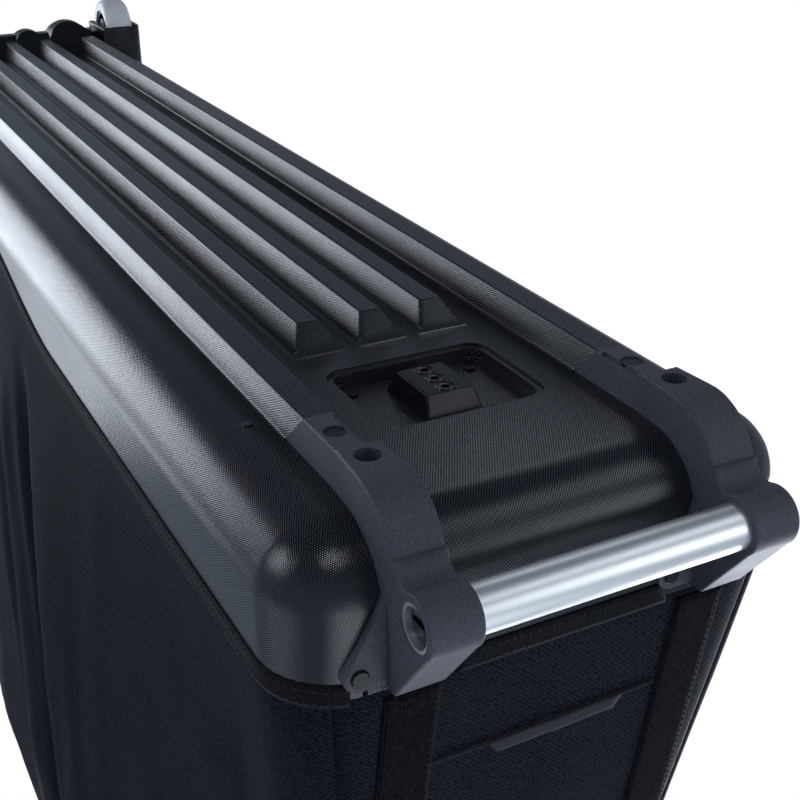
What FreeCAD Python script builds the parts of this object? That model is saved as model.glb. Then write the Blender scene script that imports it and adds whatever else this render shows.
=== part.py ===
import FreeCAD, Part
import math
import os

# Bike travel case: a hard moulded base tray on two rear wheels, with a soft padded body above it.
# Lengths are in millimetres. +X points to the handle end, +Z is up, the wheels stand on z = 0.

# Rooms and overruns
cut_over = 5.0
run_gap = 0.3
soft_gap = 0.4

# Rear wheels
wheel_d = 80.0
wheel_w = 36.0
wheel_crown_r = 9.0
hub_d = 52.0
hub_w = 32.0
hub_web_t = 10.0
hub_rim_t = 4.0
bearing_d = 22.0
bearing_w = 7.0
bearing_wall = 7.0
axle_d = 7.9
axle_head_d = 14.0
axle_head_h = 4.0
axle_nut_h = 5.5
nut_sides = 6
nut_room = 1.5
spacer_d = 12.0
wheel_mid_y = 149.0
axle_below_tray = 23.0
axle_ahead_of_rear = 16.0

# Wheel housings
cheek_t = 7.0
cheek_room = 3.0
arch_room = 4.0
arch_wall = 5.0
cheek_drop = 32.0
housing_corner_r = 22.0
housing_edge_r = 3.0

# Base tray, a formed sheet of even wall
tray_len = 1387.0
tray_width = 340.0
tray_wall = 3.0
tray_edge_r = 40.0
tray_corner_r = 46.0
rim_high = 90.0
rim_low = 44.0
rim_front_run = 490.0
rim_front_slope = 260.0
rim_low_run = 250.0
rim_rear_slope = 220.0

# Ribs and rails on the underside of the tray
rib_pitch = 46.6
rib_base_w = 35.6
rib_top_w = 15.0
rib_h = 17.4
rib_end_run = 18.9
rib_round_r = 2.5
rib_foot_run = 1.8
rib_foot_h = 1.6
rib_front_inset = 227.0
rib_rear_run = 4.0
rib_rear_inset = 15.0
rib_count = 3
rail_mid_y = 101.0
rail_base_w = 25.0
rail_top_w = 19.0
rail_h = 21.3
rail_round_r = 2.0
rail_foot_r = 2.5
rail_front_inset = 108.0
rail_rear_inset = 54.0
rail_joint_run = 20.0

# Recess for the clip-on wheel, and the socket block in it
recess_front_inset = 113.0
recess_len = 83.0
recess_w = 111.0
recess_depth = 12.0
recess_corner_r = 10.0
recess_draft = 2.0
rebate_w = 4.0
rebate_depth = 2.0
block_len = 56.0
block_w = 41.0
block_top_len = 40.0
block_top_w = 33.0
block_proud = 3.4
block_behind_recess_front = 41.0
block_round_r = 1.5
socket_d = 5.5
socket_pitch = 13.5

# Front brackets
pad_h = 26.0
pad_step_run = 8.0
pad_low_run = 42.0
front_cover = 14.0
bracket_bend_r = 44.0
bracket_drop = 84.0
bracket_front_w = 31.0
bracket_widen_run = 45.0
boss_d = 36.0
boss_reach = 34.0
boss_below_plane = 28.0
boss_blend_r = 10.0
ear_t = 5.0
ear_r = 9.0
ear_offset = 31.0
ear_above_foot = 11.0
ear_taper_run = 44.0
pad_screw_d = 14.0
pad_screw_depth = 2.5
pad_screw_from_joint = 22.0
pad_screw_head_h = 1.6
pad_hole_d = 15.5
pad_hole_depth = 19.0
pad_hole_from_joint = 62.0
bolt_head_d = 12.0
bolt_head_h = 6.0
bolt_socket_d = 6.0
bolt_socket_depth = 3.5
ledge_w = 3.0
ledge_depth = 2.2
rivet_head_d = 10.5
rivet_head_h = 1.6
pad_round_r = 2.0
boss_round_r = 1.5

# Handle tube
tube_d = 27.0
tube_wall = 2.0
tube_recess = 1.0
plug_len = 14.0
plug_recess = 4.0
plug_slot_w = 4.0
plug_slot_depth = 3.0

# Rear bumper
bumper_h = 23.0
bumper_behind = 13.0
bumper_crest_inset = 8.0
bumper_front_inset = 51.0
bumper_rise = 40.0
big_hump_y = 84.0
big_hump_half = 27.0
big_hump_h = 37.0
small_hump_y = 28.0
small_hump_half = 15.0
small_hump_h = 28.5
bumper_round_r = 3.0

# Small fasteners
screw_head_d = 8.0
screw_head_h = 1.8
margin_rivet_d = 6.4
margin_rivet_h = 1.2
margin_rivet_y = 127.0
margin_rivet_front_inset = 155.0
margin_rivet_rear_inset = 172.0
margin_rivet_count = 2

# Soft body
case_h = 850.0
lid_h = 28.0
lid_side_h = 10.0
lid_crown_run = 22.0
lid_crown_knee_share = 0.3
panel_t = 8.0
top_len = 1190.0
top_width = 250.0
top_corner_r = 58.0
flare_width = 434.0
flare_run = 580.0
neck_h = 30.0
neck_inset = 14.0
shoulder_h = 14.0
corner_runs = 6
end_panel_depth = 66.0
binding_t = 2.0
binding_below = 11.0
binding_above = 5.0
webbing_w = 36.0
webbing_t = 2.0
webbing_len = 402.0
webbing_mid_y = 98.0
flap_w = 158.0
flap_h = 10.0
flap_t = 2.5
flap_above_rim = 73.0

# Zip
chain_h = 5.0
chain_t = 2.4
chain_below_top = 7.0
chain_hinge_room = 14.0
slider_len = 16.0
slider_h = 11.0
slider_t = 5.0
slider_start = 12.0
bar_d = 2.4
bar_room = 0.08
stem_t = 2.0
knuckle_d = 5.6
pull_len = 26.0
pull_t = 2.2

# Inside
pad_t = 10.0
pad_rear_inset = 80.0
rest_len = 150.0
rest_w = 90.0
rest_h = 64.0
rest_edge_r = 12.0
rest_groove_r = 22.0
pole_d = 9.5
pole_top_room = 12.0
pole_wall_room = 10.0
socket_cup_d = 18.0
socket_cup_h = 26.0
socket_cup_floor = 4.0
cup_room = 6.0

# Places worked out from the sizes above
wheel_r = wheel_d / 2
axle_z = wheel_r
tray_z = axle_z + axle_below_tray
front_over = boss_reach + boss_d / 2
rear_over = wheel_r - axle_ahead_of_rear
case_len = tray_len + front_over + rear_over
front_x = case_len / 2
tray_front_x = front_x - front_over
tray_rear_x = tray_front_x - tray_len
tray_mid_x = (tray_front_x + tray_rear_x) / 2
axle_x = tray_rear_x + axle_ahead_of_rear
rim_high_z = tray_z + rim_high
rim_low_z = tray_z + rim_low
half_w = tray_width / 2
body_top_z = case_h - lid_h
neck_z = body_top_z - neck_h
shoulder_z = neck_z - shoulder_h
lean_z = rim_high_z + binding_above + soft_gap
tube_x = tray_front_x + boss_reach
tube_z = tray_z + boss_below_plane
cover_x = tray_front_x + front_cover
joint_x = tray_front_x - rail_front_inset
rib_front_x = tray_front_x - rib_front_inset
rib_rear_x = tray_rear_x + rib_rear_inset
rail_rear_x = tray_rear_x + rail_rear_inset
recess_front_x = tray_front_x - recess_front_inset
recess_rear_x = recess_front_x - recess_len
recess_mid_x = (recess_front_x + recess_rear_x) / 2
recess_floor_z = tray_z + recess_depth
block_mid_x = recess_front_x - block_behind_recess_front
housing_y0 = wheel_mid_y - wheel_w / 2 - cheek_room - cheek_t
housing_y1 = wheel_mid_y + wheel_w / 2 + cheek_room + cheek_t
housing_x1 = axle_x + wheel_r + arch_room + arch_wall
housing_x0 = tray_rear_x - bumper_behind
housing_z0 = tray_z - cheek_drop
housing_z1 = axle_z + wheel_r + arch_room + arch_wall
floor_z = tray_z + tray_wall
cup_y = half_w - tray_edge_r - socket_cup_d / 2
front_cup_x = tray_front_x - tray_edge_r - socket_cup_d
rear_cup_x = housing_x1 + cup_room + socket_cup_d / 2
X_AXIS = FreeCAD.Vector(1, 0, 0)
Y_AXIS = FreeCAD.Vector(0, 1, 0)
Z_AXIS = FreeCAD.Vector(0, 0, 1)
nodes = {}


def vec(x, y, z):
    return FreeCAD.Vector(x, y, z)


def box(x0, x1, y0, y1, z0, z1):
    return Part.makeBox(x1 - x0, y1 - y0, z1 - z0, vec(x0, y0, z0))


def rod(diameter, start, end):
    """A round bar between two points."""
    way = end - start
    return Part.makeCylinder(diameter / 2, way.Length, start, way)


def post(diameter, x, y, z0, z1):
    """An upright round bar."""
    return rod(diameter, vec(x, y, z0), vec(x, y, z1))


def side_prism(edges, y0, y1):
    """A side outline in the XZ plane at y0, drawn out to y1."""
    face = Part.Face(Part.Wire(edges))
    return face.extrude(vec(0, y1 - y0, 0))


def outline(points):
    """Straight edges round a list of points."""
    return Part.makePolygon(points + points[:1]).Edges


def rectangle(x0, x1, y0, y1, z):
    corners = [vec(x0, y0, z), vec(x1, y0, z), vec(x1, y1, z), vec(x0, y1, z)]
    return Part.makePolygon(corners + corners[:1])


def taper_block(x0, x1, y0, y1, z0, z1, run_rear, run_front, run_side):
    """A block that narrows from its face at z0 to its face at z1."""
    low = rectangle(x0, x1, y0, y1, z0)
    high = rectangle(x0 + run_rear, x1 - run_front, y0 + run_side, y1 - run_side, z1)
    return Part.makeLoft([low, high], True, True)


def round_edges(shape, radius, test):
    """Round the edges whose middle and direction pass the test."""
    picked = []
    for edge in shape.Edges:
        middle = edge.valueAt((edge.FirstParameter + edge.LastParameter) / 2)
        if test(edge, middle):
            picked.append(edge)
    return shape.makeFillet(radius, picked)


def upright(edge, middle):
    start = edge.Vertexes[0].Point
    end = edge.Vertexes[-1].Point
    return abs(abs((end - start).normalize().z) - 1) < 1e-6


def rounded_outline(length, width, radius, mid_x, z):
    """A rectangle with round corners, as one wire."""
    x0 = mid_x - length / 2
    x1 = mid_x + length / 2
    y0 = -width / 2
    y1 = width / 2
    slant = radius * (1 - math.sqrt(0.5))
    corners = [
        (vec(x1 - radius, y0, z), vec(x1 - slant, y0 + slant, z), vec(x1, y0 + radius, z)),
        (vec(x1, y1 - radius, z), vec(x1 - slant, y1 - slant, z), vec(x1 - radius, y1, z)),
        (vec(x0 + radius, y1, z), vec(x0 + slant, y1 - slant, z), vec(x0, y1 - radius, z)),
        (vec(x0, y0 + radius, z), vec(x0 + slant, y0 + slant, z), vec(x0 + radius, y0, z)),
    ]
    edges = []
    for number, corner in enumerate(corners):
        edges.append(Part.Arc(*corner).toShape())
        edges.append(Part.LineSegment(corner[2], corners[(number + 1) % len(corners)][0]).toShape())
    return Part.Wire(edges)


def cloth_corner(length, width, wide, radius):
    """A quarter of a sewn outline about its own middle, from its end round to its widest run."""
    x = length / 2 - radius
    y = width / 2 - radius
    knee_x = flare_run / 2
    knee_y = wide / 2
    span = math.hypot(knee_x - x, knee_y - y)
    sweep = math.atan2(knee_y - y, knee_x - x) - math.acos(radius / span)
    quarter = []
    for step in range(corner_runs + 1):
        angle = sweep * step / corner_runs
        quarter.append((x + radius * math.cos(angle), y + radius * math.sin(angle)))
    return quarter + [(knee_x, knee_y)]


def cloth_outline(length, width, wide, radius, z):
    """The points of a sewn outline, narrow at both ends and wide along the middle."""
    quarter = cloth_corner(length, width, wide, radius)
    half = quarter + [(-x, y) for x, y in reversed(quarter)]
    whole = half + [(x, -y) for x, y in reversed(half)]
    return [vec(tray_mid_x + x, y, z) for x, y in whole]


def flat_face(points):
    return Part.Face(Part.makePolygon(points + points[:1]))


def tray_line(shrink, z):
    """The sewn outline where the cloth meets the tray."""
    off = 2 * shrink
    return cloth_outline(tray_len - off, tray_width - off, tray_width - off, tray_corner_r - shrink, z)


def top_line(shrink, z):
    """The sewn outline of the wide upper part of the body."""
    off = 2 * shrink
    return cloth_outline(top_len - off, top_width - off, flare_width - off, top_corner_r - shrink, z)


def stack(rings):
    """One solid of flat faces through a stack of sewn outlines."""
    faces = [flat_face(rings[0][::-1]), flat_face(rings[-1])]
    for low, high in zip(rings, rings[1:]):
        for number in range(len(low)):
            a, b = low[number - 1], low[number]
            c, d = high[number], high[number - 1]
            faces += [flat_face([a, b, c]), flat_face([a, c, d])]
    return Part.Solid(Part.Shell(faces)).removeSplitter()


def tub(shrink, z0, z1):
    """The tray's outer body, or with a wall taken off all round its hollow."""
    low = z0 + shrink
    body = box(tray_rear_x + shrink, tray_front_x - shrink, shrink - half_w, half_w - shrink, low, z1)
    body = round_edges(body, tray_corner_r - shrink, upright)
    return round_edges(body, tray_edge_r - shrink, lambda e, m: abs(m.z - low) < run_gap)


def rim_edge(shift):
    """The rim line in side view: high at both ends, low along the middle."""
    x0 = tray_rear_x - front_over
    x1 = tray_front_x + front_over
    front_a = tray_front_x - rim_front_run
    front_b = front_a - rim_front_slope
    rear_b = front_b - rim_low_run
    rear_a = rear_b - rim_rear_slope
    high = rim_high_z + shift
    low = rim_low_z + shift
    edges = [Part.LineSegment(vec(x0, 0, high), vec(rear_a, 0, high)).toShape()]
    for start, end, z_a, z_b in ((rear_a, rear_b, high, low), (front_b, front_a, low, high)):
        middle = (start + end) / 2
        curve = Part.BezierCurve()
        curve.setPoles([vec(start, 0, z_a), vec(middle, 0, z_a), vec(middle, 0, z_b), vec(end, 0, z_b)])
        edges.append(curve.toShape())
        if z_b == low:
            edges.append(Part.LineSegment(vec(rear_b, 0, low), vec(front_b, 0, low)).toShape())
    edges.append(Part.LineSegment(vec(front_a, 0, high), vec(x1, 0, high)).toShape())
    return edges, x0, x1


def below_rim(shift):
    """All the room under the rim line, moved up by the shift."""
    edges, x0, x1 = rim_edge(shift)
    high = rim_high_z + shift
    edges.append(Part.LineSegment(vec(x1, 0, high), vec(x1, 0, 0)).toShape())
    edges.append(Part.LineSegment(vec(x1, 0, 0), vec(x0, 0, 0)).toShape())
    edges.append(Part.LineSegment(vec(x0, 0, 0), vec(x0, 0, high)).toShape())
    solid = side_prism(edges, 0, tray_width + 2 * front_over)
    solid.translate(vec(0, -half_w - front_over, 0))
    return solid


def mirrored(shape):
    return shape.mirror(vec(0, 0, 0), Y_AXIS)


def rib(mid_y, shrink):
    """One rib of the underside, or its hollow from above."""
    solid = taper_block(
        rib_rear_x + shrink,
        rib_front_x - shrink,
        mid_y - rib_base_w / 2 + shrink,
        mid_y + rib_base_w / 2 - shrink,
        tray_z + shrink,
        tray_z - rib_h + shrink,
        rib_rear_run,
        rib_end_run,
        (rib_base_w - rib_top_w) / 2,
    )
    if shrink:
        return solid
    return round_edges(solid, rib_round_r, lambda e, m: m.z < tray_z - run_gap)


def rib_foot(mid_y):
    """The short flare where a rib runs out into the tray's floor."""
    half = rib_base_w / 2 + rib_foot_run
    side_run = rib_foot_run + (rib_base_w - rib_top_w) / 2 * rib_foot_h / rib_h
    front_run = rib_foot_run + rib_end_run * rib_foot_h / rib_h
    return taper_block(
        rib_rear_x, rib_front_x + rib_foot_run, mid_y - half, mid_y + half,
        tray_z, tray_z - rib_foot_h, rib_rear_run, front_run, side_run,
    )


def rail_foot_edge(edge, middle):
    """The long edges where a rail stands on the tray's floor."""
    on_floor = abs(middle.z - tray_z) < run_gap
    beside = abs(abs(middle.y) - rail_mid_y) < rail_base_w / 2 + run_gap
    return on_floor and beside and edge.Length > recess_len


def rail_bar(x0, x1, shrink, height):
    """A length of the rail's section."""
    half_base = rail_base_w / 2 - shrink
    solid = taper_block(
        x0, x1, rail_mid_y - half_base, rail_mid_y + half_base,
        tray_z + shrink, tray_z - height + shrink, 0, 0, (rail_base_w - rail_top_w) / 2,
    )
    return solid


def rail_long_edge(edge, middle):
    """The two long edges along the rail's narrow face."""
    return middle.z < tray_z - rail_h + run_gap and abs(middle.y - rail_mid_y) > run_gap


def ahead_of_joint(shift):
    """The room in front of the slanted joint between rail and bracket."""
    x = joint_x + shift
    foot = x - rail_joint_run
    far = front_x + cut_over
    slope = rail_joint_run / rail_h
    deep = pad_h + cut_over
    top_z = tray_z + bracket_drop + cut_over
    points = [
        vec(foot, 0, top_z),
        vec(foot, 0, tray_z),
        vec(foot + slope * deep, 0, tray_z - deep),
        vec(far, 0, tray_z - deep),
        vec(far, 0, top_z),
    ]
    return side_prism(outline(points), 0, half_w)


def rail(shrink):
    """One rail, whose front end leans the way the bracket's end does."""
    rear = rail_rear_x + shrink
    bar = rail_bar(rear, joint_x + rail_joint_run, shrink, rail_h)
    if not shrink:
        bar = round_edges(bar, rail_round_r, rail_long_edge)
    return bar.cut(ahead_of_joint(-shrink))


def recess_outline(spread, radius, z):
    """The recess outline, spread by a distance on every side."""
    return rounded_outline(recess_len + 2 * spread, recess_w + 2 * spread, radius, recess_mid_x, z)


def recess_cut(grow):
    """The recess with drafted walls and a shallow rebate round its mouth."""
    top = recess_outline(grow, recess_corner_r + grow, tray_z - cut_over)
    mouth = recess_outline(grow, recess_corner_r + grow, tray_z)
    foot_r = recess_corner_r - recess_draft + grow
    foot = recess_outline(grow - recess_draft, foot_r, recess_floor_z + grow)
    well = Part.makeLoft([mouth, foot], True, True)
    neck = Part.makeLoft([top, mouth], True, True)
    spread = rebate_w + grow
    step = Part.Face(recess_outline(spread, recess_corner_r + spread, tray_z - cut_over))
    rebate = step.extrude(vec(0, 0, cut_over + rebate_depth + grow))
    return well.fuse([neck, rebate])


def tray_form(shrink):
    """The tray's outer form with its ribs and rails, or its hollow."""
    top_z = rim_high_z + (cut_over if shrink else 0)
    raised = [rail(shrink), mirrored(rail(shrink))]
    for number in range(rib_count):
        mid_y = (number - (rib_count - 1) / 2) * rib_pitch
        raised.append(rib(mid_y, shrink))
        if not shrink:
            raised.append(rib_foot(mid_y))
    form = tub(shrink, tray_z, top_z).fuse(raised)
    if shrink:
        return form
    return round_edges(form.removeSplitter(), rail_foot_r, rail_foot_edge)


def make_tray(form):
    """The formed sheet: an outer form less an inner one, trimmed to the rim."""
    hollow = tray_form(tray_wall).cut(recess_cut(tray_wall))
    solid = form.cut(recess_cut(0)).cut(hollow).common(below_rim(0))
    well = box(
        tray_rear_x - cut_over, housing_x1 + run_gap, housing_y0 - run_gap, half_w + cut_over,
        tray_z - cut_over, housing_z1 + run_gap,
    )
    return solid.cut([well, mirrored(well)]).removeSplitter()


def bracket_side():
    """The bracket's outline from the side, out to the tray's skin."""
    z_rail = tray_z - rail_h
    z_pad = tray_z - pad_h
    step_x = joint_x + pad_low_run
    bend_x = cover_x - bracket_bend_r
    bend_z = z_pad + bracket_bend_r
    top_z = tray_z + bracket_drop
    slant = bracket_bend_r * math.sqrt(0.5)
    points = [
        vec(tray_front_x - tray_edge_r - rail_front_inset, 0, top_z),
        vec(tray_front_x - tray_edge_r - rail_front_inset, 0, z_rail),
        vec(step_x, 0, z_rail),
        vec(step_x + pad_step_run, 0, z_pad),
        vec(bend_x, 0, z_pad),
    ]
    edges = Part.makePolygon(points).Edges
    middle = vec(bend_x + slant, 0, bend_z - slant)
    edges.append(Part.Arc(points[-1], middle, vec(cover_x, 0, bend_z)).toShape())
    edges.append(Part.LineSegment(vec(cover_x, 0, bend_z), vec(cover_x, 0, top_z)).toShape())
    edges.append(Part.LineSegment(vec(cover_x, 0, top_z), points[0]).toShape())
    return edges


def boss_side():
    """The blend from the band down to the tube boss, and the gusset over it."""
    boss_r = boss_d / 2
    centre = vec(tube_x, 0, tube_z)
    blend_x = cover_x + boss_blend_r
    reach = boss_r + boss_blend_r
    blend_z = tube_z - math.sqrt(reach ** 2 - (tube_x - blend_x) ** 2)
    blend = vec(blend_x, 0, blend_z)
    touch = centre + (blend - centre).multiply(boss_r / reach)
    start = vec(cover_x, 0, blend_z)
    half = (start - blend).normalize() + (touch - blend).normalize()
    middle = blend + half.normalize().multiply(boss_blend_r)
    top = vec(cover_x, 0, tray_z + bracket_drop)
    edges = [Part.Arc(start, middle, touch).toShape()]
    lean = math.atan2(tube_x + boss_r - cover_x, bracket_drop)
    tangent = centre + vec(boss_r * math.cos(lean), 0, boss_r * math.sin(lean))
    root = vec(cover_x - front_cover / 2, 0, tray_z + bracket_drop)
    inner = vec(cover_x - front_cover / 2, 0, blend_z)
    corners = [touch, centre, tangent, top, root, inner, start]
    return edges + Part.makePolygon(corners).Edges


def ear_plate(sign):
    """A flat ear beside the foot, rounded at its rivet."""
    foot_z = tray_z + bracket_drop
    mid_z = foot_z - ear_above_foot
    mid_y = rail_mid_y + sign * ear_offset
    start_z = mid_z - ear_taper_run
    x0 = tray_front_x - tray_edge_r
    points = [
        vec(x0, rail_mid_y, start_z),
        vec(x0, rail_mid_y + sign * bracket_front_w / 2, start_z),
        vec(x0, mid_y + sign * ear_r, mid_z),
        vec(x0, mid_y + sign * ear_r * math.sqrt(0.5), mid_z + ear_r * math.sqrt(0.5)),
        vec(x0, mid_y, mid_z + ear_r),
        vec(x0, rail_mid_y, mid_z + ear_r),
    ]
    lines = Part.makePolygon(points[:3]).Edges
    lines.append(Part.Arc(points[2], points[3], points[4]).toShape())
    lines += Part.makePolygon(points[4:] + points[:1]).Edges
    return Part.Face(Part.Wire(lines)).extrude(vec(tray_edge_r + ear_t, 0, 0))


def across(edge):
    """Whether an edge runs from side to side."""
    way = edge.Vertexes[-1].Point - edge.Vertexes[0].Point
    return abs(way.y) > way.Length / 2


def pad_long_edge(edge, middle):
    """The two edges along the pad and round the bend of a bracket."""
    if edge.isClosed() or across(edge):
        return False
    bend_x = cover_x - bracket_bend_r
    bend_z = tray_z - pad_h + bracket_bend_r
    on_pad = abs(middle.z - tray_z + pad_h) < run_gap and middle.x > joint_x + pad_low_run
    off_bend = math.hypot(middle.x - bend_x, middle.z - bend_z) - bracket_bend_r
    on_bend = abs(off_bend) < run_gap and middle.x > bend_x and middle.z < bend_z
    return on_pad or on_bend


def boss_rim_edge(edge, middle):
    """The outer edges of the tube boss, its blend and its gusset."""
    at_side = abs(abs(middle.y - rail_mid_y) - bracket_front_w / 2) < run_gap
    outside = math.hypot(middle.x - tube_x, middle.z - tube_z) > (boss_d + tube_d) / 4
    return at_side and outside and middle.x > cover_x + run_gap and not across(edge)


def make_bracket(skin):
    """One front bracket: rail end, pad, bent band, tube boss, gusset and ears."""
    y0 = rail_mid_y - bracket_front_w / 2
    y1 = rail_mid_y + bracket_front_w / 2
    band = side_prism(bracket_side(), 0, bracket_front_w)
    band.translate(vec(0, y0, 0))
    widen_x = joint_x + pad_low_run
    full_x = widen_x + bracket_widen_run
    z0 = tray_z - pad_h - cut_over
    plan = [
        vec(joint_x - rail_joint_run, rail_mid_y - rail_base_w / 2, z0),
        vec(widen_x, rail_mid_y - rail_base_w / 2, z0),
        vec(full_x, y0, z0),
        vec(front_x, y0, z0),
        vec(front_x, y1, z0),
        vec(full_x, y1, z0),
        vec(widen_x, rail_mid_y + rail_base_w / 2, z0),
        vec(joint_x - rail_joint_run, rail_mid_y + rail_base_w / 2, z0),
    ]
    plan_h = bracket_drop + pad_h + 2 * cut_over
    plan_prism = Part.Face(Part.Wire(outline(plan))).extrude(vec(0, 0, plan_h))
    ahead = box(widen_x, front_x, y0 - cut_over, y1 + cut_over, z0, tray_z + bracket_drop + cut_over)
    band = band.common(plan_prism).common(ahead)
    neck = rail_bar(joint_x - rail_joint_run - cut_over, widen_x, 0, rail_h)
    neck = round_edges(neck, rail_round_r, rail_long_edge)
    gusset = side_prism(boss_side(), 0, bracket_front_w)
    gusset.translate(vec(0, y0, 0))
    boss = rod(boss_d, vec(tube_x, y0, tube_z), vec(tube_x, y1, tube_z))
    solid = neck.common(ahead_of_joint(0)).fuse([band, gusset, boss, ear_plate(1), ear_plate(-1)])
    solid = solid.cut(skin).removeSplitter()
    bore = rod(tube_d, vec(tube_x, y0 - cut_over, tube_z), vec(tube_x, y1 + cut_over, tube_z))
    screw_x = joint_x + pad_screw_from_joint
    hole_x = joint_x + pad_hole_from_joint
    z_low = tray_z - rail_h
    z_pad = tray_z - pad_h
    disc = post(pad_screw_d, screw_x, rail_mid_y, z_low - cut_over, z_low + pad_screw_depth)
    deep = post(pad_hole_d, hole_x, rail_mid_y, z_pad - cut_over, z_pad + pad_hole_depth)
    ledge_y = rail_mid_y - rail_top_w / 2
    ledge = box(
        joint_x + ledge_w, widen_x - ledge_w, ledge_y - rail_base_w, ledge_y + ledge_w,
        z_low - cut_over, z_low + ledge_depth,
    )
    solid = solid.cut([bore, disc, deep, ledge])
    solid = round_edges(solid, pad_round_r, pad_long_edge)
    return round_edges(solid, boss_round_r, boss_rim_edge)


def bracket_fasteners(kind):
    """Screws, bolts or rivets of the left bracket, as separate solids."""
    if kind == "screws":
        x = joint_x + pad_screw_from_joint
        z = tray_z - rail_h + pad_screw_depth
        return [post(pad_screw_d - 2 * run_gap, x, rail_mid_y, z - pad_screw_head_h, z)]
    if kind == "bolts":
        x = joint_x + pad_hole_from_joint
        z = tray_z - pad_h + pad_hole_depth
        z_head = z - bolt_head_h
        head = post(bolt_head_d, x, rail_mid_y, z_head, z)
        socket = post(bolt_socket_d, x, rail_mid_y, z_head - cut_over, z_head + bolt_socket_depth)
        return [head.cut(socket)]
    heads = []
    x = tray_front_x + ear_t
    z = tray_z + bracket_drop - ear_above_foot
    for side in (1, -1):
        y = rail_mid_y + side * ear_offset
        head = rod(rivet_head_d, vec(x, y, z), vec(x + rivet_head_h, y, z))
        outer = [edge for edge in head.Edges if edge.isClosed() and edge.CenterOfMass.x > x + run_gap]
        heads.append(head.makeChamfer(rivet_head_h / 2, outer))
    return heads


def make_block():
    """The socket block: a tapered plug with three holes in a row."""
    z0 = recess_floor_z
    z1 = tray_z - block_proud
    end_run = (block_len - block_top_len) / 2
    solid = taper_block(
        block_mid_x - block_len / 2, block_mid_x + block_len / 2, -block_w / 2, block_w / 2,
        z0, z1, end_run, end_run, (block_w - block_top_w) / 2,
    )
    solid = round_edges(solid, block_round_r, lambda e, m: m.z < z0 - run_gap)
    holes = []
    for number in (-1, 0, 1):
        x = block_mid_x + number * socket_pitch
        holes.append(rod(socket_d, vec(x, 0, z1 - cut_over), vec(x, 0, z0 + cut_over)))
    return solid.cut(holes)


def make_housing():
    """One wheel housing: an arch with two cheeks, open below and behind."""
    solid = box(housing_x0, housing_x1, housing_y0, housing_y1, housing_z0, housing_z1)
    outer_rear = lambda e, m: upright(e, m) and m.x < axle_x and m.y > wheel_mid_y
    solid = round_edges(solid, housing_corner_r, outer_rear)
    outer_front = lambda e, m: upright(e, m) and m.x > axle_x and m.y > wheel_mid_y
    solid = round_edges(solid, housing_corner_r, outer_front)
    solid = round_edges(solid, housing_edge_r, lambda e, m: abs(m.z - housing_z0) < run_gap)
    room_r = wheel_r + arch_room
    y0 = housing_y0 + cheek_t
    y1 = housing_y1 - cheek_t
    arch = rod(2 * room_r, vec(axle_x, y0, axle_z), vec(axle_x, y1, axle_z))
    below = box(axle_x - room_r, axle_x + room_r, y0, y1, 0, axle_z)
    behind = box(housing_x0 - cut_over, axle_x, y0, y1, 0, axle_z + room_r)
    bore = axle_rod(axle_d, housing_y0 - cut_over, housing_y1 + cut_over)
    return solid.cut([arch, below, behind, bore]).removeSplitter()


def axle_rod(diameter, y0, y1):
    """A round bar on the left wheel's axle line."""
    return rod(diameter, vec(axle_x, y0, axle_z), vec(axle_x, y1, axle_z))


def make_hub(h0, h1):
    """The hub: a dished disc with a bearing seat on each side."""
    hub = axle_rod(hub_d, h0, h1)
    dish_d = hub_d - 2 * hub_rim_t
    core_d = bearing_d + 2 * hub_rim_t
    web_0 = wheel_mid_y - hub_web_t / 2
    web_1 = wheel_mid_y + hub_web_t / 2
    for a, b in ((h0 - cut_over, web_0), (web_1, h1 + cut_over)):
        hub = hub.cut(axle_rod(dish_d, a, b).cut(axle_rod(core_d, a, b)))
    seat_a = axle_rod(bearing_d, h0 - cut_over, h0 + bearing_w)
    seat_b = axle_rod(bearing_d, h1 - bearing_w, h1 + cut_over)
    return hub.cut([seat_a, seat_b, axle_rod(spacer_d, h0, h1)])


def make_nut():
    """The six-sided nut on the inner end of the axle bolt."""
    y0 = housing_y0 - axle_nut_h
    nut_r = axle_head_d / 2
    corners = []
    for number in range(nut_sides):
        angle = 2 * math.pi * number / nut_sides
        corners.append(vec(axle_x + nut_r * math.cos(angle), y0, axle_z + nut_r * math.sin(angle)))
    nut = Part.Face(Part.Wire(outline(corners))).extrude(vec(0, axle_nut_h, 0))
    return nut.cut(axle_rod(axle_d, y0 - cut_over, housing_y0 + cut_over))


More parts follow.
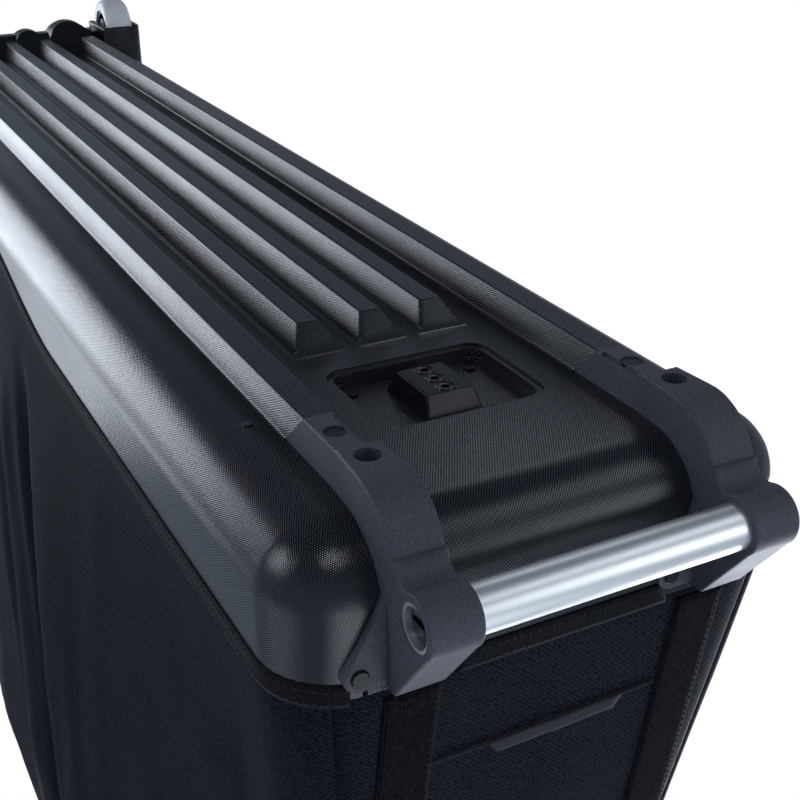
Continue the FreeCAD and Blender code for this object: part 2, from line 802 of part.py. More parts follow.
def make_wheel():
    """Tyre, hub, bearings, axle bolt, nut and spacers of the left wheel."""
    y0 = wheel_mid_y - wheel_w / 2
    y1 = wheel_mid_y + wheel_w / 2
    h0 = wheel_mid_y - hub_w / 2
    h1 = wheel_mid_y + hub_w / 2
    tyre = axle_rod(wheel_d, y0, y1)
    tyre = tyre.makeFillet(wheel_crown_r, [edge for edge in tyre.Edges if edge.isClosed()])
    tyre = tyre.cut(axle_rod(hub_d, y0 - cut_over, y1 + cut_over))
    bore_d = bearing_d - 2 * bearing_wall
    bearings = []
    for a, b in ((h0, h0 + bearing_w), (h1 - bearing_w, h1)):
        bearings.append(axle_rod(bearing_d, a, b).cut(axle_rod(bore_d, a - cut_over, b + cut_over)))
    head = axle_rod(axle_head_d, housing_y1, housing_y1 + axle_head_h)
    rim = [edge for edge in head.Edges if edge.isClosed() and edge.CenterOfMass.y > housing_y1 + run_gap]
    head = head.makeChamfer(axle_head_h / 2, rim)
    bolt = axle_rod(axle_d, housing_y0 - axle_nut_h, housing_y1).fuse(head).removeSplitter()
    spacers = []
    for a, b in ((housing_y0 + cheek_t, h0 - run_gap), (h1 + run_gap, housing_y1 - cheek_t)):
        spacers.append(axle_rod(spacer_d, a, b).cut(axle_rod(axle_d, a - cut_over, b + cut_over)))
    return {
        "tyre": [tyre],
        "hub": [make_hub(h0, h1)],
        "bearings": bearings,
        "axle_bolt": [bolt],
        "axle_nut": [make_nut()],
        "axle_spacers": spacers,
    }


def bumper_ramp(x0, height):
    """A length behind the tray's edge that falls to the tray at its front."""
    crest = tray_rear_x + bumper_crest_inset
    foot = tray_rear_x + bumper_front_inset
    points = [
        vec(x0, 0, tray_z - height),
        vec(crest, 0, tray_z - height),
        vec(foot, 0, tray_z),
        vec(foot, 0, tray_z + bumper_rise),
        vec(x0, 0, tray_z + bumper_rise),
    ]
    solid = side_prism(outline(points), 0, 2 * housing_y0)
    solid.translate(vec(0, -housing_y0, 0))
    return solid


def make_bumper(form):
    """The rear bumper: a bar with four rounded humps that run into the valleys of the tray."""
    x0 = tray_rear_x - bumper_behind
    x1 = tray_rear_x + bumper_front_inset
    sizes = (
        (big_hump_y, big_hump_half, big_hump_h),
        (small_hump_y, small_hump_half, small_hump_h),
    )
    pieces = []
    for mid_y, half, height in sizes:
        crown = height - bumper_h
        radius = (half ** 2 + crown ** 2) / (2 * crown)
        z = tray_z - height + radius
        for side_y in (mid_y, -mid_y):
            hump = rod(2 * radius, vec(x0, side_y, z), vec(x1, side_y, z))
            pieces.append(hump.common(bumper_ramp(x0, height)))
    solid = bumper_ramp(x0, bumper_h).fuse(pieces).removeSplitter()
    solid = round_edges(solid, bumper_round_r, lambda e, m: abs(m.x - x0) < run_gap and m.z < tray_z)
    nut_y = housing_y0 - axle_nut_h - nut_room
    nut_cut = axle_rod(axle_head_d + 2 * nut_room, nut_y, housing_y0 + cut_over)
    return solid.cut(form).cut([nut_cut, mirrored(nut_cut)]).removeSplitter()


def body_form(shrink):
    """The soft body's outer form, or with a wall taken off its hollow."""
    rings = [
        tray_line(shrink, tray_z + tray_edge_r),
        tray_line(shrink, lean_z),
        top_line(shrink, shoulder_z),
        top_line(shrink + neck_inset, neck_z),
        top_line(shrink + neck_inset, body_top_z),
    ]
    return stack(rings)


def end_room(sign):
    """The room that an end panel takes, leaning with the end of the body."""
    low_x = tray_mid_x + sign * (tray_len / 2 - end_panel_depth)
    high_x = tray_mid_x + sign * (top_len / 2 - end_panel_depth)
    far = tray_mid_x + sign * case_len
    points = [
        vec(low_x, 0, 0),
        vec(low_x, 0, lean_z),
        vec(high_x, 0, shoulder_z),
        vec(high_x, 0, case_h),
        vec(far, 0, case_h),
        vec(far, 0, 0),
    ]
    solid = side_prism(outline(points), 0, 2 * tray_width)
    solid.translate(vec(0, -tray_width, 0))
    return solid


def make_soft_body():
    """The four padded walls, cut from one hollow form above the rim."""
    shell = body_form(0).cut(body_form(panel_t)).cut(below_rim(0))
    ends = {"front": end_room(1), "rear": end_room(-1)}
    walls = {name: shell.common(room).removeSplitter() for name, room in ends.items()}
    sides = shell.cut(list(ends.values()))
    far = case_len
    for name, sign in (("left", 1), ("right", -1)):
        half = box(-far, far, min(0, sign * far), max(0, sign * far), 0, far)
        walls[name] = sides.common(half).removeSplitter()
    return walls


def make_lid():
    """The padded lid: a shallow dome over the open top."""
    forms = []
    for shrink in (0, panel_t):
        inset = neck_inset + shrink
        z0 = body_top_z + soft_gap - shrink
        side_z = body_top_z + lid_side_h - shrink
        crown_z = case_h - shrink
        knee_z = crown_z - lid_crown_knee_share * (crown_z - side_z)
        rings = [
            top_line(inset, z0),
            top_line(inset, side_z),
            top_line(inset + lid_crown_knee_share * lid_crown_run, knee_z),
            top_line(inset + lid_crown_run, crown_z),
        ]
        forms.append(stack(rings))
    return forms[0].cut(forms[1]).removeSplitter()


def make_binding():
    """The tape that binds cloth to tray, a band along the rim line."""
    z0 = tray_z + tray_edge_r - binding_below
    length = tray_len + 2 * binding_t
    width = tray_width + 2 * binding_t
    ring = Part.Face(rounded_outline(length, width, tray_corner_r + binding_t, tray_mid_x, z0))
    ring = ring.extrude(vec(0, 0, rim_high_z + binding_above - z0))
    core = Part.Face(rounded_outline(tray_len, tray_width, tray_corner_r, tray_mid_x, z0 - cut_over))
    core = core.extrude(vec(0, 0, rim_high + 2 * cut_over))
    band = ring.cut(core).common(below_rim(binding_above)).cut(below_rim(-binding_below))
    for side in (1, -1):
        foot = make_foot_room(side)
        band = band.cut(foot)
    return [solid for solid in band.removeSplitter().Solids]


def make_foot_room(side):
    """The room that a bracket's foot and ears take out of the binding tape."""
    half = ear_offset + ear_r + soft_gap
    x0 = tray_front_x - tray_edge_r
    mid = side * rail_mid_y
    return box(x0, front_x, mid - half, mid + half, tray_z, tray_z + bracket_drop + soft_gap)


def on_front(y0, y1, z0, z1, thickness):
    """A flat piece laid on the leaning front panel."""
    lean = (tray_len - top_len) / 2 / (shoulder_z - lean_z)

    def face_x(z):
        return tray_front_x - lean * (z - lean_z)

    points = [
        vec(face_x(z0), 0, z0),
        vec(face_x(z0) + thickness, 0, z0),
        vec(face_x(z1) + thickness, 0, z1),
        vec(face_x(z1), 0, z1),
    ]
    solid = side_prism(outline(points), 0, y1 - y0)
    solid.translate(vec(0, y0, 0))
    return solid


def make_chain():
    """The zip's teeth, round three sides of the top."""
    z1 = body_top_z - chain_below_top + chain_h
    z0 = body_top_z - chain_below_top
    rise = vec(0, 0, z1 - z0)
    ring = flat_face(top_line(neck_inset - chain_t, z0)).extrude(rise)
    core = flat_face(top_line(neck_inset, z0)).extrude(rise)
    hinge_y = flare_width / 2 - neck_inset - chain_hinge_room
    zipped = box(-case_len, case_len, -flare_width, hinge_y, z0, z1)
    return ring.cut(core).common(zipped).removeSplitter()


def slider_place(sign):
    """Where a slider starts: its ends along the zip, its height and the zip's outer face."""
    x0 = sign * slider_start + (0 if sign > 0 else -slider_len)
    z_mid = body_top_z - chain_below_top + chain_h / 2
    y_face = neck_inset - flare_width / 2 - chain_t - run_gap
    return x0, x0 + slider_len, z_mid, y_face


def make_slider(sign):
    """One zip slider on the right side, with a round bar that its pull hangs on."""
    x0, x1, z_mid, y1 = slider_place(sign)
    y0 = y1 - slider_t
    body = box(x0, x1, y0, y1, z_mid - slider_h / 2, z_mid + slider_h / 2)
    body = round_edges(body, slider_t / 3, lambda e, m: abs(m.y - y0) < run_gap)
    y_bar = y0 - knuckle_d / 2 - run_gap
    bar = rod(bar_d, vec(x0, y_bar, z_mid), vec(x1, y_bar, z_mid))
    stems = []
    for x in (x0, x1 - stem_t):
        stems.append(box(x, x + stem_t, y_bar - bar_d / 2, y0, z_mid - bar_d / 2, z_mid + bar_d / 2))
    return body.fuse([bar] + stems).removeSplitter()


def make_pull(sign):
    """The pull of a slider: a flat tab below a knuckle that turns on the bar."""
    x0, x1, z_mid, y1 = slider_place(sign)
    y_bar = y1 - slider_t - knuckle_d / 2 - run_gap
    a = x0 + stem_t + run_gap
    b = x1 - stem_t - run_gap
    knuckle = rod(knuckle_d, vec(a, y_bar, z_mid), vec(b, y_bar, z_mid))
    tab = box(a, b, y_bar - pull_t / 2, y_bar + pull_t / 2, z_mid - pull_len, z_mid)
    mid_x = (a + b) / 2

    def tip_corner(edge, middle):
        at_side = abs(abs(middle.x - mid_x) - (b - a) / 2) < run_gap
        return at_side and middle.z < z_mid - pull_len + run_gap

    tab = round_edges(tab, (b - a) / 3, tip_corner)
    hole = rod(bar_d + 2 * bar_room, vec(a - cut_over, y_bar, z_mid), vec(b + cut_over, y_bar, z_mid))
    return knuckle.fuse(tab).cut(hole).removeSplitter()


def make_poles():
    """Four corner poles and the cups on the tray floor that hold them."""
    poles = []
    cups = []
    head_x = top_len / 2 - neck_inset - panel_t - pole_wall_room - pole_d
    head_y = top_width / 2 - neck_inset - panel_t - pole_wall_room - pole_d
    for foot_x, top_x in ((front_cup_x, tray_mid_x + head_x), (rear_cup_x, tray_mid_x - head_x)):
        for side in (1, -1):
            foot = vec(foot_x, side * cup_y, floor_z + socket_cup_floor + run_gap)
            head = vec(top_x, side * head_y, body_top_z - pole_top_room)
            poles.append(rod(pole_d, foot, head))
            cup = post(socket_cup_d, foot.x, foot.y, floor_z, floor_z + socket_cup_h)
            cups.append(cup.cut(rod(pole_d + 2 * run_gap, foot, head)))
    return poles, cups


def keep(name, *solids):
    nodes[name] = list(solids)


def both(name, solids):
    """A piece of the left side, and its mirror image on the right."""
    keep(name.format("left"), *solids)
    keep(name.format("right"), *[mirrored(solid) for solid in solids])


# Base tray and what is fixed to it
tray_skin = tub(0, tray_z, rim_high_z + cut_over)
outer_form = tray_form(0)
keep("base_tray", make_tray(outer_form))
both("front_{}_bracket", [make_bracket(tray_skin)])
for kind in ("screws", "bolts", "rivets"):
    left = bracket_fasteners(kind)
    keep("bracket_" + kind, *left, *[mirrored(solid) for solid in left])
tube_end = rail_mid_y + bracket_front_w / 2 - tube_recess
tube_inner_d = tube_d - 2 * tube_wall
tube = rod(tube_d, vec(tube_x, -tube_end, tube_z), vec(tube_x, tube_end, tube_z))
bore_end = tube_end + cut_over
tube_bore = rod(tube_inner_d, vec(tube_x, -bore_end, tube_z), vec(tube_x, bore_end, tube_z))
keep("handle_tube", tube.cut(tube_bore))
plug_y = tube_end - plug_recess
plug = rod(tube_inner_d, vec(tube_x, plug_y - plug_len, tube_z), vec(tube_x, plug_y, tube_z))
slot_y = plug_y - plug_slot_depth
plug_slot = box(
    tube_x - tube_d, tube_x + tube_d, slot_y, plug_y + cut_over,
    tube_z - plug_slot_w / 2, tube_z + plug_slot_w / 2,
)
plug = plug.cut(plug_slot)
keep("handle_tube_plugs", plug, mirrored(plug))
keep("wheel_socket_block", make_block())
corner_in_x = recess_len / 2 - recess_draft - recess_corner_r
corner_in_y = recess_w / 2 - recess_draft - recess_corner_r
recess_screws = []
for sx in (1, -1):
    for sy in (1, -1):
        place = vec(recess_mid_x + sx * corner_in_x, sy * corner_in_y, recess_floor_z)
        recess_screws.append(rod(screw_head_d, place, place - Z_AXIS * screw_head_h))
keep("recess_screws", *recess_screws)
margin_rivet_run = tray_len - margin_rivet_front_inset - margin_rivet_rear_inset
margin_rivet_pitch = margin_rivet_run / (margin_rivet_count - 1)
margin_rivets = []
for number in range(margin_rivet_count):
    x = tray_front_x - margin_rivet_front_inset - number * margin_rivet_pitch
    place = vec(x, margin_rivet_y, tray_z)
    head = rod(margin_rivet_d, place, place - Z_AXIS * margin_rivet_h)
    margin_rivets += [head, mirrored(head)]
keep("tray_rivets", *margin_rivets)

# Rear end
both("rear_{}_wheel_housing", [make_housing()])
for piece, solids in make_wheel().items():
    both("rear_{}_" + piece, solids)
keep("rear_bumper", make_bumper(outer_form))
bumper_screws = []
for sign in (1, -1):
    for y in (small_hump_y, big_hump_y):
        place = vec(tray_rear_x - bumper_behind, sign * y, tray_z)
        bumper_screws.append(rod(screw_head_d, place, place - X_AXIS * screw_head_h))
keep("bumper_screws", *bumper_screws)

# Soft body
for name, wall in make_soft_body().items():
    keep("fabric_" + name + "_panel", wall)
keep("fabric_lid", make_lid())
keep("rim_binding", *make_binding())
band_z0 = lean_z
band_y0 = webbing_mid_y - webbing_w / 2
left_band = on_front(band_y0, band_y0 + webbing_w, band_z0, band_z0 + webbing_len, webbing_t)
keep("front_webbing_bands", left_band, mirrored(left_band))
flap_z = rim_high_z + flap_above_rim
keep("front_pocket_flap", on_front(-flap_w / 2, flap_w / 2, flap_z, flap_z + flap_h, flap_t))
keep("zip_chain", make_chain())
for name, sign in (("front", 1), ("rear", -1)):
    keep("zip_" + name + "_slider", make_slider(sign))
    keep("zip_" + name + "_pull", make_pull(sign))

# Inside
pad_x0 = tray_rear_x + pad_rear_inset
pad_x1 = recess_rear_x - rebate_w - tray_wall - recess_corner_r
pad_y = cup_y - socket_cup_d / 2 - cup_room
keep("floor_pad", box(pad_x0, pad_x1, -pad_y, pad_y, floor_z, floor_z + pad_t))
rest_z = floor_z + pad_t
rest = box(-rest_len / 2, rest_len / 2, -rest_w / 2, rest_w / 2, rest_z, rest_z + rest_h)
rest = round_edges(rest, rest_edge_r, upright)
groove = rod(2 * rest_groove_r, vec(0, -rest_w, rest_z + rest_h), vec(0, rest_w, rest_z + rest_h))
keep("frame_rest_block", rest.cut(groove))
poles, cups = make_poles()
keep("corner_poles", *poles)
keep("pole_sockets", *cups)

os.makedirs("parts", exist_ok=True)
for name, solids in nodes.items():
    shape = solids[0] if len(solids) == 1 else Part.makeCompound(solids)
    shape.exportStep(os.path.join("parts", name + ".step"))
    print(name, len(shape.Solids), shape.isValid(), round(shape.Volume))
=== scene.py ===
"""Looks of a bike travel case: a hard formed base on two wheels under a soft, zipped cloth body."""

import logging
import math
from dataclasses import dataclass
from enum import Enum
from typing import Callable

import bmesh
import bpy
from mathutils import Matrix, Vector, noise


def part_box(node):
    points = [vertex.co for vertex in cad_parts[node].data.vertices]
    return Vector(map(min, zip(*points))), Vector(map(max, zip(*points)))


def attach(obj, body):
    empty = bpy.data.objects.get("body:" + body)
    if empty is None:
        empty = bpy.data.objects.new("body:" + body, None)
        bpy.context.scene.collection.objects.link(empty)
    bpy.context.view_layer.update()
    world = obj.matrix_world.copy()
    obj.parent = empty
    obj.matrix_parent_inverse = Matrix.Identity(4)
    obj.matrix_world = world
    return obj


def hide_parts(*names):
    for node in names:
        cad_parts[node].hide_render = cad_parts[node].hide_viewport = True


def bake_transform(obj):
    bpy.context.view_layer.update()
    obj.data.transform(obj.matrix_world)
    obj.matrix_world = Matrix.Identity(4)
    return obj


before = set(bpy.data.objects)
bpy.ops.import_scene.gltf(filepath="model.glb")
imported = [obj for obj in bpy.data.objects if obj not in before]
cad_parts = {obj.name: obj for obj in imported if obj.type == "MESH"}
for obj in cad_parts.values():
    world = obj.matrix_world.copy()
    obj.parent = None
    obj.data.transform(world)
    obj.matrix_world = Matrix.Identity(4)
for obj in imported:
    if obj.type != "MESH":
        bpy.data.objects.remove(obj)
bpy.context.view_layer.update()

log = logging.getLogger("travel_case")
Colour = tuple[float, float, float]
Point = tuple[float, float, float]
Pair = tuple[float, float]
Place = Callable[[float, float], Vector]
Line = Callable[[float], tuple[Vector, Vector]]
Socket = bpy.types.NodeSocket
Material = bpy.types.Material
Mesh = bmesh.types.BMesh

MM = 0.001
BASE = "case_base"
# Where most of a noise node's values lie, for wide patches and for fine grain.
NOISE_SPAN = (0.3, 0.7)
GRAIN_SPAN = (0.35, 0.65)
# The least and the most that three crossed cosines add up to.
CROSSED_SPAN = (-1.5, 3)


class Shader:
    """A material in the making, with short calls that add nodes and join them."""

    def __init__(self, name: str) -> None:
        """Start an empty Principled material.

        Args:
            name: The material's name.
        """
        self.material = bpy.data.materials.new(name)
        self.material.use_nodes = True
        self.tree = self.material.node_tree
        self.surface = self.tree.nodes["Principled BSDF"]

    def node(self, kind: str, inputs: dict | None = None, **settings: object) -> bpy.types.Node:
        """Add a node, set its options and feed its sockets.

        Args:
            kind: Blender's class name of the node.
            inputs: Values or output sockets, by the name or number of the input.
            settings: Options of the node itself.

        Returns:
            The new node.
        """
        node = self.tree.nodes.new(kind)
        for key, value in settings.items():
            setattr(node, key, value)
        self.feed(node, inputs or {})
        return node

    def feed(self, node: bpy.types.Node, inputs: dict) -> None:
        """Give a node's sockets a value or a link.

        Args:
            node: The node to feed.
            inputs: Values or output sockets, by the name or number of the input.
        """
        for key, value in inputs.items():
            if isinstance(value, Socket):
                self.tree.links.new(value, node.inputs[key])
            else:
                node.inputs[key].default_value = value

    def place(self, scale: Point = (1, 1, 1), source: str = "Object") -> Socket:
        """Coordinates on the piece, scaled.

        Args:
            scale: Repeats per metre along each axis.
            source: The output of the Texture Coordinate node.

        Returns:
            The vector socket.
        """
        coords = self.node("ShaderNodeTexCoord")
        mapping = self.node("ShaderNodeMapping", {"Vector": coords.outputs[source], "Scale": scale})
        return mapping.outputs["Vector"]

    def noise(self, place: Socket, scale: float, detail: float = 3) -> Socket:
        """Soft random grain."""
        made = self.node("ShaderNodeTexNoise", {"Vector": place, "Scale": scale, "Detail": detail})
        return made.outputs["Fac"]

    def sum(self, kind: str, first: object, second: object) -> Socket:
        """One step of arithmetic."""
        return self.node("ShaderNodeMath", {0: first, 1: second}, operation=kind).outputs[0]

    def span(self, value: Socket, low: float, high: float, a: float = 0, b: float = 1) -> Socket:
        """Spread a value evenly from one range to another."""
        inputs = {"Value": value, "From Min": low, "From Max": high, "To Min": a, "To Max": b}
        return self.node("ShaderNodeMapRange", inputs).outputs["Result"]

    def tint(self, amount: Socket, first: Colour, second: Colour) -> Socket:
        """Mix two colours.

        Args:
            amount: Share of the second colour.
            first: Linear colour at 0.
            second: Linear colour at 1.

        Returns:
            The colour socket.
        """
        mix = self.node("ShaderNodeMix", {0: amount}, data_type="RGBA")
        mix.inputs[6].default_value = (*first, 1)
        mix.inputs[7].default_value = (*second, 1)
        return mix.outputs[2]

    def bump(self, height: Socket, depth: float, under: Socket | None = None) -> Socket:
        """Raise the surface by a height map.

        Args:
            height: Height from 0 to 1.
            depth: Height of 1 in metres.
            under: A normal to start from.

        Returns:
            The normal socket.
        """
        made = self.node("ShaderNodeBump", {"Height": height, "Distance": depth, "Strength": 1.0})
        if under is not None:
            self.tree.links.new(under, made.inputs["Normal"])
        return made.outputs["Normal"]

    def finish(self, inputs: dict) -> Material:
        """Feed the surface shader."""
        self.feed(self.surface, inputs)
        return self.material


def mix_shaders(
    tree: bpy.types.NodeTree, output: str, share: Socket,
    first: Socket, second: Socket,
) -> None:
    """Mix two shaders into a tree's output.

    Args:
        tree: The node tree.
        output: Name of its output node.
        share: Share of the second shader.
        first: The shader at 0.
        second: The shader at 1.
    """
    mix = tree.nodes.new("ShaderNodeMixShader")
    for number, socket in enumerate((share, first, second)):
        tree.links.new(socket, mix.inputs[number])
    tree.links.new(mix.outputs[0], tree.nodes[output].inputs["Surface"])


def grey_pair(colour: Colour, spread: float) -> tuple[Colour, Colour]:
    """A darker and a lighter neighbour of a colour.

    Args:
        colour: The middle colour.
        spread: Share to take off and add.

    Returns:
        The two colours.
    """
    dark = tuple(part * (1 - spread) for part in colour)
    light = tuple(part * (1 + spread) for part in colour)
    return dark, light


@dataclass(frozen=True)
class PressedSheet:
    """Black formed sheet with a fine pressed grain of close-set dots, unrolled over its bends, the dots
    painted light as highlights.
    """

    name: str = "pressed_sheet"
    # Colours of the pits and of the dots: the dots' lighter colour is a painted highlight of the glints
    # that the dots catch.
    pit: Colour = (0.0005, 0.0006, 0.001)
    dot: Colour = (0.046, 0.052, 0.068)
    roughness: Pair = (0.18, 0.25)
    row: float = 1.5 * MM
    slants: tuple[float, float, float] = (0, 60, 120)
    depth: float = 0.055 * MM
    level: Pair = (0.0, 1.0)
    crown: float = -0.27
    steep: float = 0.95
    rail_top: float = 62.6 * MM
    # Where along the dot pattern the dots' painted highlight starts and where it is full.
    glint_paint_span: Pair = (0.2, 0.6)
    gloss_span: Pair = (0.04, 0.44)

    def unrolled(self, make: Shader) -> tuple[Socket, Socket]:
        """Distances along and across the sheet, which run on down its walls.

        Args:
            make: The material in the making.

        Returns:
            The two distances in metres.
        """
        spot = make.node("ShaderNodeSeparateXYZ", {0: make.place()})
        normal = make.node("ShaderNodeNewGeometry").outputs["Normal"]
        facing = make.node("ShaderNodeSeparateXYZ", {0: normal})
        drop = make.sum("SUBTRACT", spot.outputs["Z"], self.rail_top)
        along, across = (
            make.sum("ADD", spot.outputs[axis], make.sum("MULTIPLY", facing.outputs[axis], drop))
            for axis in ("X", "Y")
        )
        return along, across

    def crowned(self, make: Shader) -> Socket:
        """The surface's direction, with the steep faces of the rails crowned outwards.

        Args:
            make: The material in the making.

        Returns:
            The normal socket.
        """
        facing = make.node("ShaderNodeNewGeometry").outputs["Normal"]
        height = make.node("ShaderNodeSeparateXYZ", {0: make.place()}).outputs["Z"]
        across = make.node("ShaderNodeSeparateXYZ", {0: facing}).outputs["Y"]
        steep = make.sum("GREATER_THAN", make.sum("ABSOLUTE", across, 0.0), self.steep)
        amount = make.sum("MULTIPLY", steep, make.sum("LESS_THAN", height, self.rail_top))
        lean = make.node("ShaderNodeCombineXYZ", {"Z": make.sum("MULTIPLY", amount, self.crown)})
        tilted = make.node("ShaderNodeVectorMath", {0: facing, 1: lean.outputs[0]}, operation="ADD")
        unit = make.node("ShaderNodeVectorMath", {0: tilted.outputs[0]}, operation="NORMALIZE")
        return unit.outputs[0]

    def material(self) -> Material:
        """Build the finish.

        Returns:
            The material.
        """
        make = Shader(self.name)
        along, across = self.unrolled(make)
        turns = 2 * math.pi / self.row
        waves = []
        for slant in self.slants:
            angle = math.radians(slant)
            first = make.sum("MULTIPLY", along, math.cos(angle) * turns)
            second = make.sum("MULTIPLY", across, math.sin(angle) * turns)
            waves.append(make.sum("COSINE", make.sum("ADD", first, second), 0.0))
        crossed = make.sum("ADD", make.sum("ADD", waves[0], waves[1]), waves[2])
        dots = make.span(crossed, *CROSSED_SPAN)
        broad = make.noise(make.place(), scale=9, detail=4)
        return make.finish({
            # Painted highlight: the base colour runs from near-black pits to lighter dots, standing in
            # for the dots' glints.
            "Base Color": make.tint(make.span(dots, *self.glint_paint_span), self.pit, self.dot),
            "Roughness": make.span(broad, *NOISE_SPAN, *self.roughness),
            "Normal": make.bump(dots, self.depth, self.crowned(make)),
            "Specular IOR Level": make.span(dots, *self.gloss_span, *self.level),
        })


@dataclass(frozen=True)
class GrainedMoulding:
    """Injection-moulded plastic with a fine matt grain."""

    name: str
    colour: Colour
    roughness: Pair = (0.45, 0.6)
    grain: float = 0.9 * MM
    depth: float = 0.05 * MM
    level: float = 0.3
    speckle: float = 0.3

    def material(self) -> Material:
        """Build the finish.

        Returns:
            The material.
        """
        make = Shader(self.name)
        fine = make.noise(make.place(), scale=1 / self.grain, detail=2)
        broad = make.noise(make.place(), scale=14, detail=3)
        dark, light = grey_pair(self.colour, self.speckle)
        return make.finish({
            "Base Color": make.tint(make.span(fine, *GRAIN_SPAN), dark, light),
            "Roughness": make.span(broad, *NOISE_SPAN, *self.roughness),
            "Normal": make.bump(fine, self.depth),
            "Specular IOR Level": self.level,
        })


@dataclass(frozen=True)
class TurnedMetal:
    """Bare or blackened metal with fine drawn lines."""

    name: str
    colour: Colour
    roughness: Pair = (0.22, 0.34)
    lines: Point = (40, 3000, 40)
    depth: float = 0.004 * MM

    def material(self) -> Material:
        """Build the finish.

        Returns:
            The material.
        """
        make = Shader(self.name)
        drawn = make.noise(make.place(scale=self.lines), scale=1, detail=2)
        broad = make.noise(make.place(), scale=30, detail=3)
        dark, light = grey_pair(self.colour, spread=0.04)
        return make.finish({
            "Base Color": make.tint(broad, dark, light),
            "Metallic": 1.0,
            "Roughness": make.span(drawn, *NOISE_SPAN, *self.roughness),
            "Normal": make.bump(drawn, self.depth),
        })


@dataclass(frozen=True)
class CastTyre:
    """Milky cast polyurethane, slightly see-through at its edges."""

    name: str = "cast_tyre"
    colour: Colour = (0.78, 0.79, 0.80)
    roughness: Pair = (0.28, 0.5)
    depth: float = 0.03 * MM

    def material(self) -> Material:
        """Build the finish.

        Returns:
            The material.
        """
        make = Shader(self.name)
        scuff = make.noise(make.place(), scale=60, detail=5)
        fine = make.noise(make.place(), scale=900, detail=2)
        dark, light = grey_pair(self.colour, spread=0.07)
        return make.finish({
            "Base Color": make.tint(scuff, dark, light),
            "Roughness": make.span(scuff, *NOISE_SPAN, *self.roughness),
            "Normal": make.bump(fine, self.depth),
            "Subsurface Weight": 0.25,
            "Subsurface Radius": (0.006, 0.006, 0.007),
            "Subsurface Scale": 0.6,
        })


class Weave(Enum):
    """How the threads of a cloth cross."""

    PLAIN = "plain"
    TWILL = "twill"
    RIBBED = "ribbed"


@dataclass(frozen=True)
class WovenCloth:
    """Woven polyester on the piece's own UV map, which is in metres."""

    name: str
    colour: Colour
    weave: Weave = Weave.PLAIN
    pitch: float = 0.9 * MM
    depth: float = 0.12 * MM
    sheen: float = 0.01
    roughness: float = 0.75
    contrast: float = 0.95
    level: float = 0.12
    patchy: float = 0.3
    slub: Point = (900, 120, 1)
    speck: float = 0.7
    mix_span: Pair = (1.2, 1.8)
    rib_weight: float = 0.25

    def threads(self, make: Shader) -> Socket:
        """The height of the threads from 0 to 1.

        Args:
            make: The material in the making.

        Returns:
            The height socket.
        """
        turns = 2 * math.pi / self.pitch
        spot = make.node("ShaderNodeSeparateXYZ", {0: make.place(source="UV")})
        across, along = spot.outputs["X"], spot.outputs["Y"]
        first, second, weight = (across, turns), (along, turns), 1.0
        if self.weave is Weave.TWILL:
            first = (make.sum("ADD", across, along), turns / 2)
        elif self.weave is Weave.RIBBED:
            second, weight = (along, turns * 3), self.rib_weight
        waves = [make.sum("SINE", make.sum("MULTIPLY", *wave), 0.0) for wave in (first, second)]
        crossed = make.sum("MULTIPLY", waves[1], weight)
        return make.span(make.sum("ADD", waves[0], crossed), -2, 2)

    def material(self) -> Material:
        """Build the finish.

        Returns:
            The material.
        """
        make = Shader(self.name)
        height = self.threads(make)
        patches = make.sum("MULTIPLY", make.noise(make.place(), scale=7, detail=5), self.patchy)
        broad = make.sum("ADD", patches, (1 - self.patchy) / 2)
        slub = make.noise(make.place(self.slub, "UV"), scale=1, detail=2)
        mixed = make.sum("MULTIPLY", make.sum("ADD", height, slub), 0.5)
        dark, light = grey_pair(self.colour, self.contrast)
        speck = make.noise(make.place(source="UV"), scale=self.speck / self.pitch, detail=1)
        uneven = make.span(make.sum("ADD", make.sum("ADD", mixed, broad), speck), *self.mix_span)
        return make.finish({
            "Base Color": make.tint(uneven, dark, light),
            "Roughness": self.roughness,
            "Normal": make.bump(mixed, self.depth),
            "Specular IOR Level": self.level,
            "Sheen Weight": self.sheen,
            "Sheen Roughness": 0.45,
            "Sheen Tint": (0.55, 0.6, 0.75, 1),
        })


@dataclass(frozen=True)
class CellFoam:
    """Closed-cell foam with a fine skin of pores."""

    name: str = "cell_foam"
    colour: Colour = (0.03, 0.032, 0.036)
    pores: float = 700.0
    depth: float = 0.3 * MM

    def material(self) -> Material:
        """Build the finish.

        Returns:
            The material.
        """
        make = Shader(self.name)
        cells = make.node("ShaderNodeTexVoronoi", {"Vector": make.place(), "Scale": self.pores})
        pores = cells.outputs["Distance"]
        dark, light = grey_pair(self.colour, spread=0.3)
        return make.finish({
            "Base Color": make.tint(pores, dark, light),
            "Roughness": 0.9,
            "Normal": make.bump(pores, self.depth),
        })


